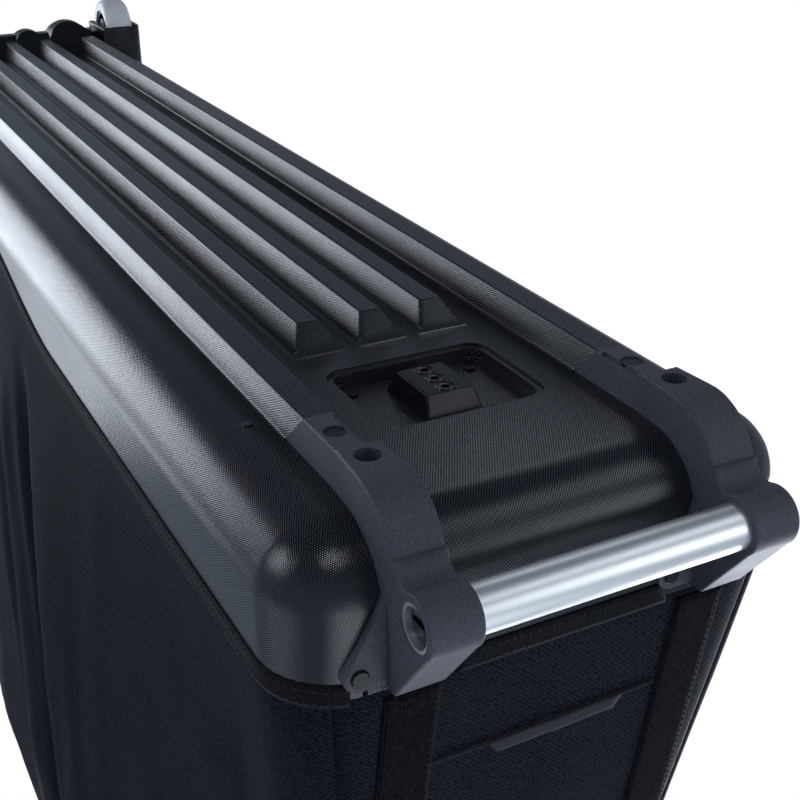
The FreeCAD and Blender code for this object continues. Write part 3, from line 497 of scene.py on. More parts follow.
class Finishes:
    """Every finish of the case, made once."""

    def __init__(self) -> None:
        """Build all the materials."""
        self.mouldings()
        self.metals()
        self.cloths()

    def mouldings(self) -> None:
        """Build the plastics, the tyre and the foam."""
        self.sheet = PressedSheet().material()
        self.nylon = GrainedMoulding(
            "grained_nylon", (0.066, 0.070, 0.087), grain=1.0 * MM, speckle=0.28).material()
        self.smooth = GrainedMoulding(
            "smooth_moulding", (0.006, 0.007, 0.0095), (0.22, 0.32), depth=0.01 * MM).material()
        self.gloss = GrainedMoulding(
            "gloss_moulding", (0.0015, 0.0018, 0.0024), (0.14, 0.2), depth=0.0, level=0.6).material()
        self.plug = GrainedMoulding(
            "plug_moulding", (0.006, 0.006, 0.008), (0.35, 0.45), 0.8 * MM, 0.02 * MM).material()
        self.pole = GrainedMoulding(
            "glass_rod", (0.04, 0.042, 0.045), (0.3, 0.4), 0.4 * MM, 0.02 * MM).material()
        self.hub = GrainedMoulding(
            "hub_moulding", (0.02, 0.021, 0.023), (0.4, 0.5), 0.7 * MM, 0.03 * MM).material()
        self.grey_tab = GrainedMoulding(
            "grey_tab", (0.020, 0.021, 0.027), (0.55, 0.65), 0.5 * MM, 0.03 * MM).material()
        self.teeth = GrainedMoulding(
            "zip_teeth", (0.014, 0.014, 0.016), (0.28, 0.36), 0.8 * MM, 0.01 * MM).material()
        self.tyre = CastTyre().material()
        self.foam = CellFoam().material()

    def metals(self) -> None:
        """Build the metals, of which only the tube shows drawn lines."""
        even = (300, 300, 300)
        self.tube = TurnedMetal(
            "satin_tube", (0.93, 0.935, 0.94), (0.37, 0.42), (30, 900, 30), 0.001 * MM).material()
        self.rivet = TurnedMetal("dull_rivet", (0.16, 0.165, 0.18), (0.22, 0.32), even).material()
        self.steel = TurnedMetal("bare_steel", (0.62, 0.62, 0.64), (0.25, 0.4), even).material()
        self.black_metal = TurnedMetal(
            "black_hardware", (0.035, 0.036, 0.04), (0.3, 0.42), even).material()

    def cloths(self) -> None:
        """Build the cloths, the tapes and the thread."""
        self.cloth = WovenCloth(
            "body_cloth", (0.0100, 0.0112, 0.0165), Weave.TWILL, 1.9 * MM, level=0.035).material()
        self.lining = WovenCloth(
            "lining_cloth", (0.035, 0.037, 0.042), Weave.PLAIN, 1.4 * MM).material()
        self.tape = WovenCloth(
            "edge_tape", (0.007, 0.008, 0.012), Weave.RIBBED, 1.5 * MM, 0.2 * MM).material()
        self.webbing = WovenCloth(
            "webbing", (0.0062, 0.0067, 0.0092), Weave.RIBBED, 2.4 * MM, 0.16 * MM, 0.0, level=0.03,
        ).material()
        self.thread = GrainedMoulding(
            "sewing_thread", (0.020, 0.0215, 0.026), (0.55, 0.7), 0.3 * MM).material()


def settle_normals(mesh: Mesh) -> None:
    """Merge doubles and turn every face outwards."""
    bmesh.ops.remove_doubles(mesh, verts=mesh.verts, dist=1e-6)
    bmesh.ops.recalc_face_normals(mesh, faces=mesh.faces)


def piece(name: str, mesh: Mesh, finish: Material, body: str = BASE) -> bpy.types.Object:
    """Turn a bmesh into an object that rides on a body.

    Args:
        name: The piece's name.
        mesh: Its mesh, which is used up.
        finish: Its material.
        body: The CAD body that carries it, or nothing for a piece that rides on no body.

    Returns:
        The new object.
    """
    data = bpy.data.meshes.new(name)
    mesh.to_mesh(data)
    mesh.free()
    data.polygons.foreach_set("use_smooth", [True] * len(data.polygons))
    data.materials.append(finish)
    made = bpy.data.objects.new(name, data)
    bpy.context.scene.collection.objects.link(made)
    if body:
        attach(made, body)
    log.info("%s: %d faces on %s", name, len(data.polygons), body or "a hinge")
    return made


def patch(columns: int, rows: int, place: Place, size: Pair) -> Mesh:
    """A grid laid on a surface, with a UV map in metres.

    Args:
        columns: Faces across.
        rows: Faces up.
        place: Gives the point at a share across and a share up.
        size: Width and height of the UV map in metres.

    Returns:
        The laid grid.
    """
    mesh = bmesh.new()
    bmesh.ops.create_grid(mesh, x_segments=columns, y_segments=rows, size=0.5)
    layer = mesh.loops.layers.uv.new("UVMap")
    shares = {vert: (vert.co.x + 0.5, vert.co.y + 0.5) for vert in mesh.verts}
    for face in mesh.faces:
        for loop in face.loops:
            across, up = shares[loop.vert]
            loop[layer].uv = (across * size[0], up * size[1])
    for vert, (across, up) in shares.items():
        vert.co = place(across, up)
    return mesh


def join(whole: Mesh, part: Mesh) -> None:
    """Add one mesh to another.

    Args:
        whole: The mesh that takes the part.
        part: The mesh to add, which is used up.
    """
    data = bpy.data.meshes.new("part")
    part.to_mesh(data)
    part.free()
    whole.from_mesh(data)
    bpy.data.meshes.remove(data)


def thicken(made: bpy.types.Object, thickness: float, offset: float = -1, lined: bool = False) -> None:
    """Give a sheet its thickness.

    Args:
        made: The piece.
        thickness: How thick it gets.
        offset: Side that it grows to, from -1 inwards to 1 outwards.
        lined: Whether its inner face takes the second material.
    """
    wall = made.modifiers.new("thickness", "SOLIDIFY")
    wall.thickness = thickness
    wall.offset = offset
    wall.material_offset = int(lined)


def soft_least(first: float, second: float, blend: float) -> float:
    """The smaller of two lengths, with a smooth change from one to the other."""
    share = min(1.0, max(0.0, 0.5 + 0.5 * (second - first) / blend))
    return second + share * (first - second) - blend * share * (1 - share)


def ease(value: float) -> float:
    """A smooth step from 0 to 1."""
    share = min(1.0, max(0.0, value))
    return share * share * (3 - 2 * share)


@dataclass
class BodyForm:
    """The sewn form of the cloth body, as its outlines stack up from the tray."""

    corner_r: float = 46 * MM
    top_corner_r: float = 58 * MM
    top_width: float = 250 * MM
    flare_run: float = 580 * MM
    neck_inset: float = 14 * MM
    neck_h: float = 30 * MM
    shoulder_h: float = 14 * MM
    rim_low: float = 44 * MM
    rim_high: float = 90 * MM
    rim_front_run: float = 490 * MM
    rim_front_slope: float = 260 * MM
    rim_low_run: float = 250 * MM
    rim_rear_slope: float = 220 * MM
    tape_above: float = 5.4 * MM
    swell: float = 0.6

    def __post_init__(self) -> None:
        """Take the main places from the frame."""
        low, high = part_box("base_tray")
        self.mid_x = (low.x + high.x) / 2
        self.length = high.x - low.x
        self.half_w = high.y
        self.rim_top_z = high.z
        self.tray_z = self.rim_top_z - self.rim_high
        self.lean_z = self.rim_top_z + self.tape_above
        self.top_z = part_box("fabric_front_panel")[1].z
        self.half_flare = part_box("fabric_left_panel")[1].y
        self.neck_z = self.top_z - self.neck_h
        self.shoulder_z = self.neck_z - self.shoulder_h
        lid_low, lid_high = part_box("fabric_lid")
        self.top_len = lid_high.x - lid_low.x + 2 * self.neck_inset

    def rim_z(self, x: float) -> float:
        """Height of the tray's rim at a place along it.

        Args:
            x: Place along the case.

        Returns:
            The rim's height.
        """
        front_a = self.mid_x + self.length / 2 - self.rim_front_run
        front_b = front_a - self.rim_front_slope
        rear_b = front_b - self.rim_low_run
        rear_a = rear_b - self.rim_rear_slope
        if x > front_b:
            share = ease((x - front_b) / (front_a - front_b))
        else:
            share = ease((rear_b - x) / (rear_b - rear_a))
        return self.tray_z + self.rim_low + share * (self.rim_high - self.rim_low)

    def quarter(self, level: float) -> tuple[Vector, float, float, Vector]:
        """Corner centre, radius, sweep and knee of a quarter outline.

        Args:
            level: 0 at the tray, 1 at the shoulder.

        Returns:
            The corner's centre, its radius, the angle it sweeps and the knee where the wide run starts.
        """
        length = self.length + level * (self.top_len - self.length)
        end_half = self.half_w + level * (self.top_width / 2 - self.half_w)
        wide = self.half_w + level * (self.half_flare - self.half_w)
        radius = self.corner_r + level * (self.top_corner_r - self.corner_r)
        centre = Vector((length / 2 - radius, end_half - radius))
        knee = Vector((self.flare_run / 2, wide))
        gap = knee - centre
        sweep = math.atan2(gap.y, gap.x) - math.acos(radius / gap.length)
        return centre, radius, sweep, knee

    def runs(self) -> list[float]:
        """Lengths of a quarter outline's runs at the tray: end, corner, flare and half the wide run."""
        centre, radius, sweep, knee = self.quarter(0)
        return [centre.y, radius * sweep, centre.x - knee.x, knee.x]

    def reach(self) -> float:
        """Length of a quarter outline at the tray."""
        return sum(self.runs())

    def level(self, z: float) -> float:
        """How far a height is from the tray, at 0, to the shoulder, at 1."""
        return min(1.0, max(0.0, (z - self.lean_z) / (self.shoulder_z - self.lean_z)))

    def plan(self, distance: float, level: float, inset: float = 0) -> Vector:
        """A point of the outline.

        Args:
            distance: Distance along the outline at the tray, from the front middle towards the left.
            level: 0 at the tray, 1 at the shoulder.
            inset: Distance to move in from the outline.

        Returns:
            The point in plan, in the case's frame.
        """
        quarter = self.reach()
        whole = distance % (4 * quarter)
        turn = int(whole // quarter) % 4
        along = whole % quarter
        if turn % 2:
            along = quarter - along
        spot = self.quarter_point(along, level, inset)
        x = spot.x if turn in (0, 3) else -spot.x
        y = spot.y if turn < 2 else -spot.y
        return Vector((self.mid_x + x, y))

    def quarter_point(self, along: float, level: float, inset: float) -> Vector:
        """A point on the front left quarter, about the middle of the case.

        Args:
            along: Distance from the front middle.
            level: 0 at the tray, 1 at the shoulder.
            inset: Distance to move in.

        Returns:
            The point in plan.
        """
        centre, radius, sweep = self.quarter(level)[:3]
        end, corner, flare, wide = self.runs()
        if along <= end:
            return Vector((centre.x + radius - inset, centre.y * along / end))
        if along <= end + corner:
            angle = sweep * (along - end) / corner
            return centre + (radius - inset) * Vector((math.cos(angle), math.sin(angle)))
        start = centre + (radius - inset) * Vector((math.cos(sweep), math.sin(sweep)))
        share = (along - end - corner) / (flare + wide)
        x = start.x * (1 - share)
        return Vector((x, self.side_y(x, level, inset)))

    def side_y(self, x: float, level: float, inset: float) -> float:
        """Half the width along the sides, which swell from the corners to the middle.

        Args:
            x: Distance from the middle of the case.
            level: 0 at the tray, 1 at the shoulder.
            inset: Distance to move in.

        Returns:
            The half width.
        """
        centre, radius, sweep, knee = self.quarter(level)
        start = centre + (radius - inset) * Vector((math.cos(sweep), math.sin(sweep)))
        wide = knee.y - inset
        rise = (wide - start.y) / (start.x - knee.x)
        blend = max(1e-6, self.swell * (wide - start.y))
        return soft_least(start.y + rise * (start.x - x), wide, blend)

    def point(self, distance: float, z: float) -> Vector:
        """A point of the body's outer face.

        Args:
            distance: Distance along the outline at the tray.
            z: Height.

        Returns:
            The point in the case's frame.
        """
        inset = self.neck_inset * ease((z - self.shoulder_z) / (self.neck_z - self.shoulder_z))
        plan = self.plan(distance, self.level(z), inset)
        return Vector((plan.x, plan.y, z))

    def outward(self, distance: float, z: float) -> Vector:
        """The outward direction of the body's face.

        Args:
            distance: Distance along the outline at the tray.
            z: Height.

        Returns:
            A unit vector.
        """
        step = 4 * MM
        along = self.point(distance + step, z) - self.point(distance - step, z)
        up = self.point(distance, z + step) - self.point(distance, z - step)
        return along.cross(up).normalized()


@dataclass(frozen=True)
class Fold:
    """One fold of the cloth: a soft ridge or valley along a line on the body's face."""

    start: Pair
    end: Pair
    width: float
    depth: float
    taper: float = 0.25

    def lift(self, along: float, z: float) -> float:
        """How far the fold lifts a point of the cloth.

        Args:
            along: Distance along the outline.
            z: Height.

        Returns:
            The lift in metres, less than 0 in a valley.
        """
        line = Vector(self.end) - Vector(self.start)
        gap = Vector((along, z)) - Vector(self.start)
        share = gap.dot(line) / line.length_squared
        off = gap - line * min(1.0, max(0.0, share))
        fade = ease(share / self.taper) * ease((1 - share) / self.taper)
        return self.depth * fade * math.exp(-((off.length / self.width) ** 2))


class Side(Enum):
    """The four walls of the cloth body, by the CAD node that each stands for."""

    FRONT = "fabric_front_panel"
    LEFT = "fabric_left_panel"
    REAR = "fabric_rear_panel"
    RIGHT = "fabric_right_panel"


# The folds of a long wall: where each starts and ends as metres from the front seam and height, its
# width and its depth.
SIDE_FOLDS = (
    ((0.60, 0.13), (0.54, 0.80), 0.014, -0.010),
    ((0.53, 0.20), (0.48, 0.80), 0.06, 0.003),
    ((0.68, 0.16), (0.61, 0.78), 0.05, 0.013),
    ((0.10, 0.25), (0.32, 0.52), 0.03, 0.0035),
    ((0.05, 0.42), (0.30, 0.66), 0.035, -0.004),
    ((0.95, 0.15), (0.93, 0.75), 0.04, -0.009),
    ((1.10, 0.22), (1.02, 0.70), 0.05, 0.007),
)


@dataclass
class SoftBody:
    """The four padded walls between the tray's rim and the zip."""

    form: BodyForm
    finishes: Finishes
    grid: float = 9 * MM
    wall: float = 5 * MM
    tuck: float = 6 * MM
    seam_share: float = 0.29
    seam_depth: float = 2.2 * MM
    seam_width: float = 5 * MM
    belly: float = 4.2 * MM
    end_belly: float = 0.2
    end_reach: float = 0.6
    # Over what run the cloth comes free of its edges: in metres along it and as a share of its height.
    edge_run: float = 0.12
    ripple: float = 1.6 * MM
    # Of each ripple: waves along and up per metre, its seed and its share.
    ripples: tuple[tuple[float, float, float, float], ...] = ((6, 5, 1.7, 1.0), (15, 11, 5.1, 0.5))
    slack: float = 0.006
    stiffness: float = 4.0
    most: float = 6 * MM
    # Where along the case the slack starts to calm, over what run, and the share that is left.
    calm: tuple[float, float, float] = (0.0, 0.35, 0.2)
    rim_free: float = 70 * MM
    frames: int = 16

    def __post_init__(self) -> None:
        """Work out the seams and folds once."""
        self.marks = self.seams()
        self.creases = self.folds()

    def seams(self) -> list[float]:
        """Distances of the four corner seams along the outline, from the front left one.

        Returns:
            The distances in metres.
        """
        end, corner = self.form.runs()[:2]
        first = end + self.seam_share * corner
        half = 2 * self.form.reach()
        return [first, half - first, half + first, 2 * half - first]

    def folds(self) -> list[Fold]:
        """The folds that the cloth of both long walls has fallen into.

        Returns:
            The folds.
        """
        seam = self.marks[0]
        whole = 4 * self.form.reach()
        out = []
        for low, side in ((0.0, 1), (whole, -1)):
            for start, end, width, depth in SIDE_FOLDS:
                ends = [(low + side * (seam + along), z) for along, z in (start, end)]
                out.append(Fold(*ends, width, depth))
        return out

    def lift(self, along: float, z: float) -> float:
        """How far the cloth stands off the plain form.

        Args:
            along: Distance along the outline.
            z: Height.

        Returns:
            The lift in metres.
        """
        whole = 4 * self.form.reach()
        spot = along % whole
        edge = min(abs((spot - mark + whole / 2) % whole - whole / 2) for mark in self.marks)
        x = self.form.plan(along, 0).x
        low = self.form.rim_z(x)
        up = min(1.0, max(0.0, (z - low) / (self.form.top_z - low)))
        free = ease(edge / self.edge_run) * ease(up / self.edge_run) * ease((1 - up) / self.edge_run)
        rough = sum(
            share * noise.noise(Vector((spot * across, z * rise, seed)))
            for across, rise, seed, share in self.ripples
        )
        on_end = abs(x - self.form.mid_x) > self.end_reach
        belly = self.belly * (self.end_belly if on_end else 1.0) * math.sin(math.pi * up)
        pull = -self.seam_depth * math.exp(-((edge / self.seam_width) ** 2))
        creases = sum(fold.lift(spot, z) for fold in self.creases)
        return free * (belly + self.ripple * rough + creases) + pull

    def face(self, along: float, z: float) -> Vector:
        """A point on the cloth's outer face."""
        return self.form.point(along, z) + self.form.outward(along, z) * self.lift(along, z)

    def front_face(self, y: float, z: float) -> Vector:
        """A point on the front wall at a place across it."""
        wide = self.form.quarter(self.form.level(z))[0].y
        return self.face(y * self.form.runs()[0] / wide, z)

    def wall_piece(self, side: Side, start: float, end: float) -> bpy.types.Object:
        """One wall between two seams.

        Args:
            side: Which wall.
            start: Distance of its first seam along the outline.
            end: Distance of its second seam.

        Returns:
            The wall's object.
        """
        form = self.form
        height = form.top_z - form.tray_z - form.rim_low

        def place(across: float, up: float) -> Vector:
            """The point at a share along the wall and a share up it.

            Args:
                across: Share along or across the piece.
                up: Share up or over it.

            Returns:
                The point in the case's frame.
            """
            along = start + across * (end - start)
            low = form.rim_z(form.plan(along, 0).x) - self.tuck
            return self.face(along, low + up * (form.top_z - low))

        columns, rows = round((end - start) / self.grid), round(height / self.grid)
        mesh = patch(columns, rows, place, (end - start, height))
        settle_normals(mesh)
        made = piece(side.value.replace("fabric", "cloth"), mesh, self.finishes.cloth)
        made.data.materials.append(self.finishes.lining)
        if side in (Side.LEFT, Side.RIGHT):
            self.settle(made)
        thicken(made, self.wall, lined=True)
        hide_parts(side.value)
        return made

    def settle(self, made: bpy.types.Object) -> None:
        """Let a wall's slack cloth fall into creases between its seams.

        Args:
            made: The wall's object, still without its thickness.
        """
        before = [vert.co.copy() for vert in made.data.vertices]
        normals = [vert.normal.copy() for vert in made.data.vertices]
        mesh = bmesh.new()
        mesh.from_mesh(made.data)
        held = [vert.index for vert in mesh.verts if vert.is_boundary]
        mesh.free()
        seams = made.vertex_groups.new(name="seams")
        seams.add(held, 1.0, "REPLACE")
        hang = made.modifiers.new("hang", "CLOTH")
        hang.settings.vertex_group_mass = seams.name
        hang.settings.quality = 5
        hang.settings.mass = 0.25
        hang.settings.bending_stiffness = self.stiffness
        hang.settings.shrink_min = -self.slack
        hang.point_cache.frame_end = self.frames
        scene = bpy.context.scene
        for number in range(1, self.frames + 1):
            scene.frame_set(number)
        shaped = made.evaluated_get(bpy.context.evaluated_depsgraph_get()).data
        after = [vert.co.copy() for vert in shaped.vertices]
        made.modifiers.remove(hang)
        made.vertex_groups.remove(seams)
        scene.frame_set(1)
        start, run, least = self.calm
        for vert, old, new, normal in zip(made.data.vertices, before, after, normals):
            moved = new - old
            out = moved.dot(normal)
            slide = moved - out * normal
            free = ease((old.z - self.form.rim_z(old.x)) / self.rim_free)
            free *= 1 - (1 - least) * ease((old.x - start) / run)
            vert.co = old + free * (slide + normal * self.most * math.tanh(out / self.most))

    def build(self) -> None:
        """Make the four walls."""
        starts = [self.marks[3] - 4 * self.form.reach(), *self.marks[:3]]
        for side, start, end in zip(Side, starts, self.marks):
            self.wall_piece(side, start, end)


@dataclass
class Stitches:
    """Rows of short stitches laid along a line."""

    length: float = 3.4 * MM
    width: float = 0.9 * MM
    pitch: float = 5.2 * MM
    rise: float = 0.35 * MM

    def lay(self, mesh: Mesh, line: Line, reach: float) -> None:
        """Add a row of stitches to a mesh.

        Args:
            mesh: The mesh that takes them.
            line: Gives the point and outward direction at a distance.
            reach: Length of the row.
        """
        for number in range(int(reach / self.pitch)):
            middle = (number + 0.5) * self.pitch
            spot, out = line(middle)
            first, last = (line(middle + half)[0] for half in (-self.length / 2, self.length / 2))
            ahead = (last - first).normalized()
            side = out.cross(ahead).normalized()
            turn = Matrix((ahead, side, out)).transposed().to_4x4()
            grow = Matrix.Diagonal((self.length / 2, self.width / 2, self.width / 2, 1))
            bmesh.ops.create_icosphere(
                mesh, subdivisions=1, radius=1,
                matrix=Matrix.Translation(spot + out * self.rise) @ turn @ grow,
            )


@dataclass
class RimBinding:
    """The tape that binds the cloth to the tray's rim, with its two rows of stitches."""

    form: BodyForm
    finishes: Finishes
    stitches: Stitches
    below: float = 10 * MM
    above: float = 4.6 * MM
    thick: float = 1.5 * MM
    proud: float = 1.0 * MM
    grid: float = 8 * MM
    foot_inner: float = 30 * MM
    foot_outer: float = 34 * MM
    crown: float = 0.5 * MM
    thread_out: float = 0.4 * MM
    rows: Pair = (0.22, 0.80)

    def face(self, along: float, up: float, out: float) -> Vector:
        """A point on the tape.

        Args:
            along: Distance along the outline.
            up: Share of the tape's width, from its lower edge.
            out: Distance proud of the cloth.

        Returns:
            The point in the case's frame.
        """
        plan = self.form.plan(along, 0)
        z = self.form.rim_z(plan.x) - self.below + up * (self.below + self.above)
        normal = self.form.outward(along, self.form.tray_z)
        return Vector((plan.x, plan.y, z)) + normal * out

    def spans(self) -> list[Pair]:
        """Where the tape runs, clear of the two bracket feet.

        Returns:
            Start and end of each run along the outline.
        """
        low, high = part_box("front_left_bracket")
        mid = (low.y + high.y) / 2
        whole = 4 * self.form.reach()
        inner, outer = mid - self.foot_inner, mid + self.foot_outer
        return [(-inner, inner), (outer, whole - outer)]

    def strip(self, start: float, end: float) -> Mesh:
        """One run of the tape.

        Args:
            start: Where it starts along the outline.
            end: Where it ends.

        Returns:
            The run's mesh.
        """
        def place(across: float, up: float) -> Vector:
            """The point at a share along the run and a share up it."""
            out = self.proud + self.crown * (1 - (2 * up - 1) ** 4)
            return self.face(start + across * (end - start), up, out)

        size = (end - start, self.below + self.above)
        mesh = patch(round((end - start) / self.grid), rows=6, place=place, size=size)
        settle_normals(mesh)
        return mesh

    def row(self, start: float, up: float) -> Line:
        """The line of a row of stitches.

        Args:
            start: Where it starts along the outline.
            up: Share of the tape's width, from its lower edge.

        Returns:
            The line.
        """
        def line(distance: float) -> tuple[Vector, Vector]:
            """The point and the outward direction at a distance along the row.

            Args:
                distance: Distance along the row.

            Returns:
                The point and the direction.
            """
            along = start + distance
            out = self.form.outward(along, self.form.tray_z)
            return self.face(along, up, self.proud + self.thread_out), out

        return line

    def build(self) -> None:
        """Make the tape and its stitches."""
        whole, thread = bmesh.new(), bmesh.new()
        for start, end in self.spans():
            join(whole, self.strip(start, end))
            for up in self.rows:
                self.stitches.lay(thread, self.row(start, up), end - start)
        tape = piece("rim_tape", whole, self.finishes.tape)
        thicken(tape, self.thick)
        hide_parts("rim_binding")
        piece("rim_stitches", thread, self.finishes.thread)


@dataclass
class FrontTrim:
    """Webbing bands, the seam across the front and its grey tab."""

    soft: SoftBody
    finishes: Finishes
    stitches: Stitches
    band_thick: float = 1.8 * MM
    proud: float = 0.8 * MM
    seam_z: float = 226 * MM
    tab_width: float = 98 * MM
    tab_h: float = 8 * MM
    tab_thick: float = 1.6 * MM
    tab_shift: float = -5 * MM
    tab_out: float = 1.2 * MM
    tab_lean: float = 1.5 * MM
    tab_slope: float = 0.9
    band_width: float = 36 * MM
    band_crown: float = 0.4 * MM
    band_hem: float = 3 * MM
    hem_out: float = 0.6 * MM
    seam_reach: float = 78 * MM
    seam_width: float = 5 * MM
    seam_out: float = 0.6 * MM
    seam_crown: float = 1.1 * MM
    seam_thread_out: float = 0.4 * MM

    def __post_init__(self) -> None:
        """Keep the form at hand."""
        self.form = self.soft.form

    def front(self, y: float, z: float, out: float) -> Vector:
        """A point on the front wall."""
        return self.soft.front_face(y, z) + self.form.outward(0, z) * out

    def band(self, side: int) -> Mesh:
        """One webbing band.

        Args:
            side: 1 on the left, -1 on the right.

        Returns:
            The band's mesh.
        """
        low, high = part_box("front_webbing_bands")
        inner = high.y - self.band_width

        def place(across: float, up: float) -> Vector:
            """The point at a share across the band and a share up it.

            Args:
                across: Share along or across the piece.
                up: Share up or over it.

            Returns:
                The point in the case's frame.
            """
            y = side * (inner + across * self.band_width)
            out = self.proud + self.band_crown * (1 - (2 * across - 1) ** 6)
            return self.front(y, low.z + up * (high.z - low.z), out)

        mesh = patch(columns=8, rows=60, place=place, size=(self.band_width, high.z - low.z))
        settle_normals(mesh)
        return mesh

    def hem(self, y: float, low_z: float) -> Line:
        """The line of stitches up a band's edge.

        Args:
            y: Place across the front.
            low_z: Height where it starts.

        Returns:
            The line.
        """
        def line(distance: float) -> tuple[Vector, Vector]:
            """The point and the outward direction at a distance up the band."""
            z = low_z + distance
            return self.front(y, z, self.proud + self.hem_out), self.form.outward(0, z)

        return line

    def bands(self) -> None:
        """The two webbing bands under the bracket feet."""
        low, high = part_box("front_webbing_bands")
        inner = high.y - self.band_width
        whole, thread = bmesh.new(), bmesh.new()
        for side in (1, -1):
            join(whole, self.band(side))
            for edge in (inner + self.band_hem, high.y - self.band_hem):
                self.stitches.lay(thread, self.hem(side * edge, low.z), high.z - low.z)
        bands = piece("webbing_bands", whole, self.finishes.webbing)
        thicken(bands, self.band_thick)
        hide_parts("front_webbing_bands")
        piece("webbing_stitches", thread, self.finishes.webbing)

    def tab(self) -> None:
        """The grey tab that stands off the seam across the front."""
        def place(across: float, up: float) -> Vector:
            """The point at a share along the tab and a share up it.

            Args:
                across: Share along or across the piece.
                up: Share up or over it.

            Returns:
                The point in the case's frame.
            """
            reach = self.tab_width / 2 - up * self.tab_h * self.tab_slope
            y = self.tab_shift + (2 * across - 1) * reach
            return self.front(y, self.seam_z + up * self.tab_h, self.tab_out + up * self.tab_lean)

        mesh = patch(columns=24, rows=4, place=place, size=(self.tab_width, self.tab_h))
        settle_normals(mesh)
        tab = piece("pocket_tab", mesh, self.finishes.grey_tab)
        thicken(tab, self.tab_thick, offset=0)
        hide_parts("front_pocket_flap")

    def seam(self) -> None:
        """The welted seam across the front, between the bands."""
        def place(across: float, up: float) -> Vector:
            """The point at a share along the welt and a share up it.

            Args:
                across: Share along or across the piece.
                up: Share up or over it.

            Returns:
                The point in the case's frame.
            """
            y = (2 * across - 1) * self.seam_reach
            z = self.seam_z + (up - 0.5) * self.seam_width
            return self.front(y, z, self.seam_out + self.seam_crown * math.sin(math.pi * up))

        def line(distance: float) -> tuple[Vector, Vector]:
            """The point and the outward direction at a distance along the stitches.

            Args:
                distance: Distance along the row.

            Returns:
                The point and the direction.
            """
            z = self.seam_z - self.seam_width
            spot = self.front(distance - self.seam_reach, z, self.seam_thread_out)
            return spot, self.form.outward(0, z)

        mesh = patch(columns=60, rows=6, place=place, size=(2 * self.seam_reach, self.seam_width))
        settle_normals(mesh)
        piece("front_seam_welt", mesh, self.finishes.tape)
        thread = bmesh.new()
        self.stitches.lay(thread, line, 2 * self.seam_reach)
        piece("front_seam_stitches", thread, self.finishes.webbing)

    def build(self) -> None:
        """Make the bands, the seam and the tab."""
        self.bands()
        self.seam()
        self.tab()


@dataclass
class Lid:
    """The padded lid over the open top, hinged along its left side."""

    form: BodyForm
    finishes: Finishes
    columns: int = 150
    rows: int = 48
    skirt: float = 9 * MM
    crown_run: float = 30 * MM
    sag: float = 3 * MM
    sag_run: float = 0.15
    wall: float = 5 * MM

    def half_width(self, x: float) -> float:
        """Half the lid's width at a place along it.

        Args:
            x: Distance from the lid's middle.

        Returns:
            The half width.
        """
        form = self.form
        centre, radius, sweep = form.quarter(1)[:3]
        reach = abs(x)
        inset = form.neck_inset
        if reach <= centre.x + (radius - inset) * math.cos(sweep):
            return form.side_y(reach, 1, inset)
        off = min(radius - inset, reach - centre.x)
        return centre.y + math.sqrt(max(0.0, (radius - inset) ** 2 - off ** 2))

    def build(self) -> None:
        """Make the domed lid with its skirt."""
        form = self.form
        low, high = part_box("fabric_lid")
        half_len = (high.x - low.x) / 2

        def place(across: float, up: float) -> Vector:
            """The point at a share along the lid and a share across it, closer set at its edges.

            Args:
                across: Share along or across the piece.
                up: Share up or over it.

            Returns:
                The point in the case's frame.
            """
            x = math.sin(math.pi * (across - 0.5)) * half_len
            half = self.half_width(x)
            y = math.sin(math.pi * (up - 0.5)) * half
            edge = min(half - abs(y), half_len - abs(x))
            drop = (high.z - low.z - self.skirt) * (1 - ease(edge / self.crown_run))
            sag = self.sag * ease(edge / self.sag_run)
            return Vector((form.mid_x + x, y, high.z - drop - sag))

        mesh = patch(self.columns, self.rows, place, (2 * half_len, 2 * form.half_flare))
        settle_normals(mesh)
        rim = [edge for edge in mesh.edges if edge.is_boundary]
        drawn = bmesh.ops.extrude_edge_only(mesh, edges=rim)
        for vert in [item for item in drawn["geom"] if isinstance(item, bmesh.types.BMVert)]:
            vert.co.z = low.z
        bmesh.ops.recalc_face_normals(mesh, faces=mesh.faces)
        lid = piece("cloth_lid", mesh, self.finishes.cloth, "lid")
        lid.data.materials.append(self.finishes.lining)
        thicken(lid, self.wall, lined=True)
        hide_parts("fabric_lid")


@dataclass
class HingeTape:
    """The tape sewn over the lid's cloth hinge."""

    lid: Lid
    finishes: Finishes
    half_len: float = 0.2
    width: float = 26 * MM
    proud: float = 0.5 * MM
    thick: float = 1.2 * MM
    bend: float = 5 * MM

    def build(self) -> None:
        """Make the tape, on no body, with its place baked into its mesh."""
        low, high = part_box("fabric_lid")
        mid_x = (low.x + high.x) / 2

        def place(across: float, up: float) -> Vector:
            """The point of the tape at a share along it and a share up it.

            Args:
                across: Share along or across the piece.
                up: Share up or over it.

            Returns:
                The point in the case's frame.
            """
            x = (2 * across - 1) * self.half_len
            y = self.lid.half_width(x) + self.proud
            return Vector((mid_x + x, y, low.z + (up - 0.5) * self.width))

        mesh = patch(columns=50, rows=20, place=place, size=(2 * self.half_len, self.width))
        settle_normals(mesh)
        bmesh.ops.solidify(mesh, geom=mesh.faces, thickness=self.thick)
        tape = piece("hinge_tape", mesh, self.finishes.tape, "")
        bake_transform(tape)


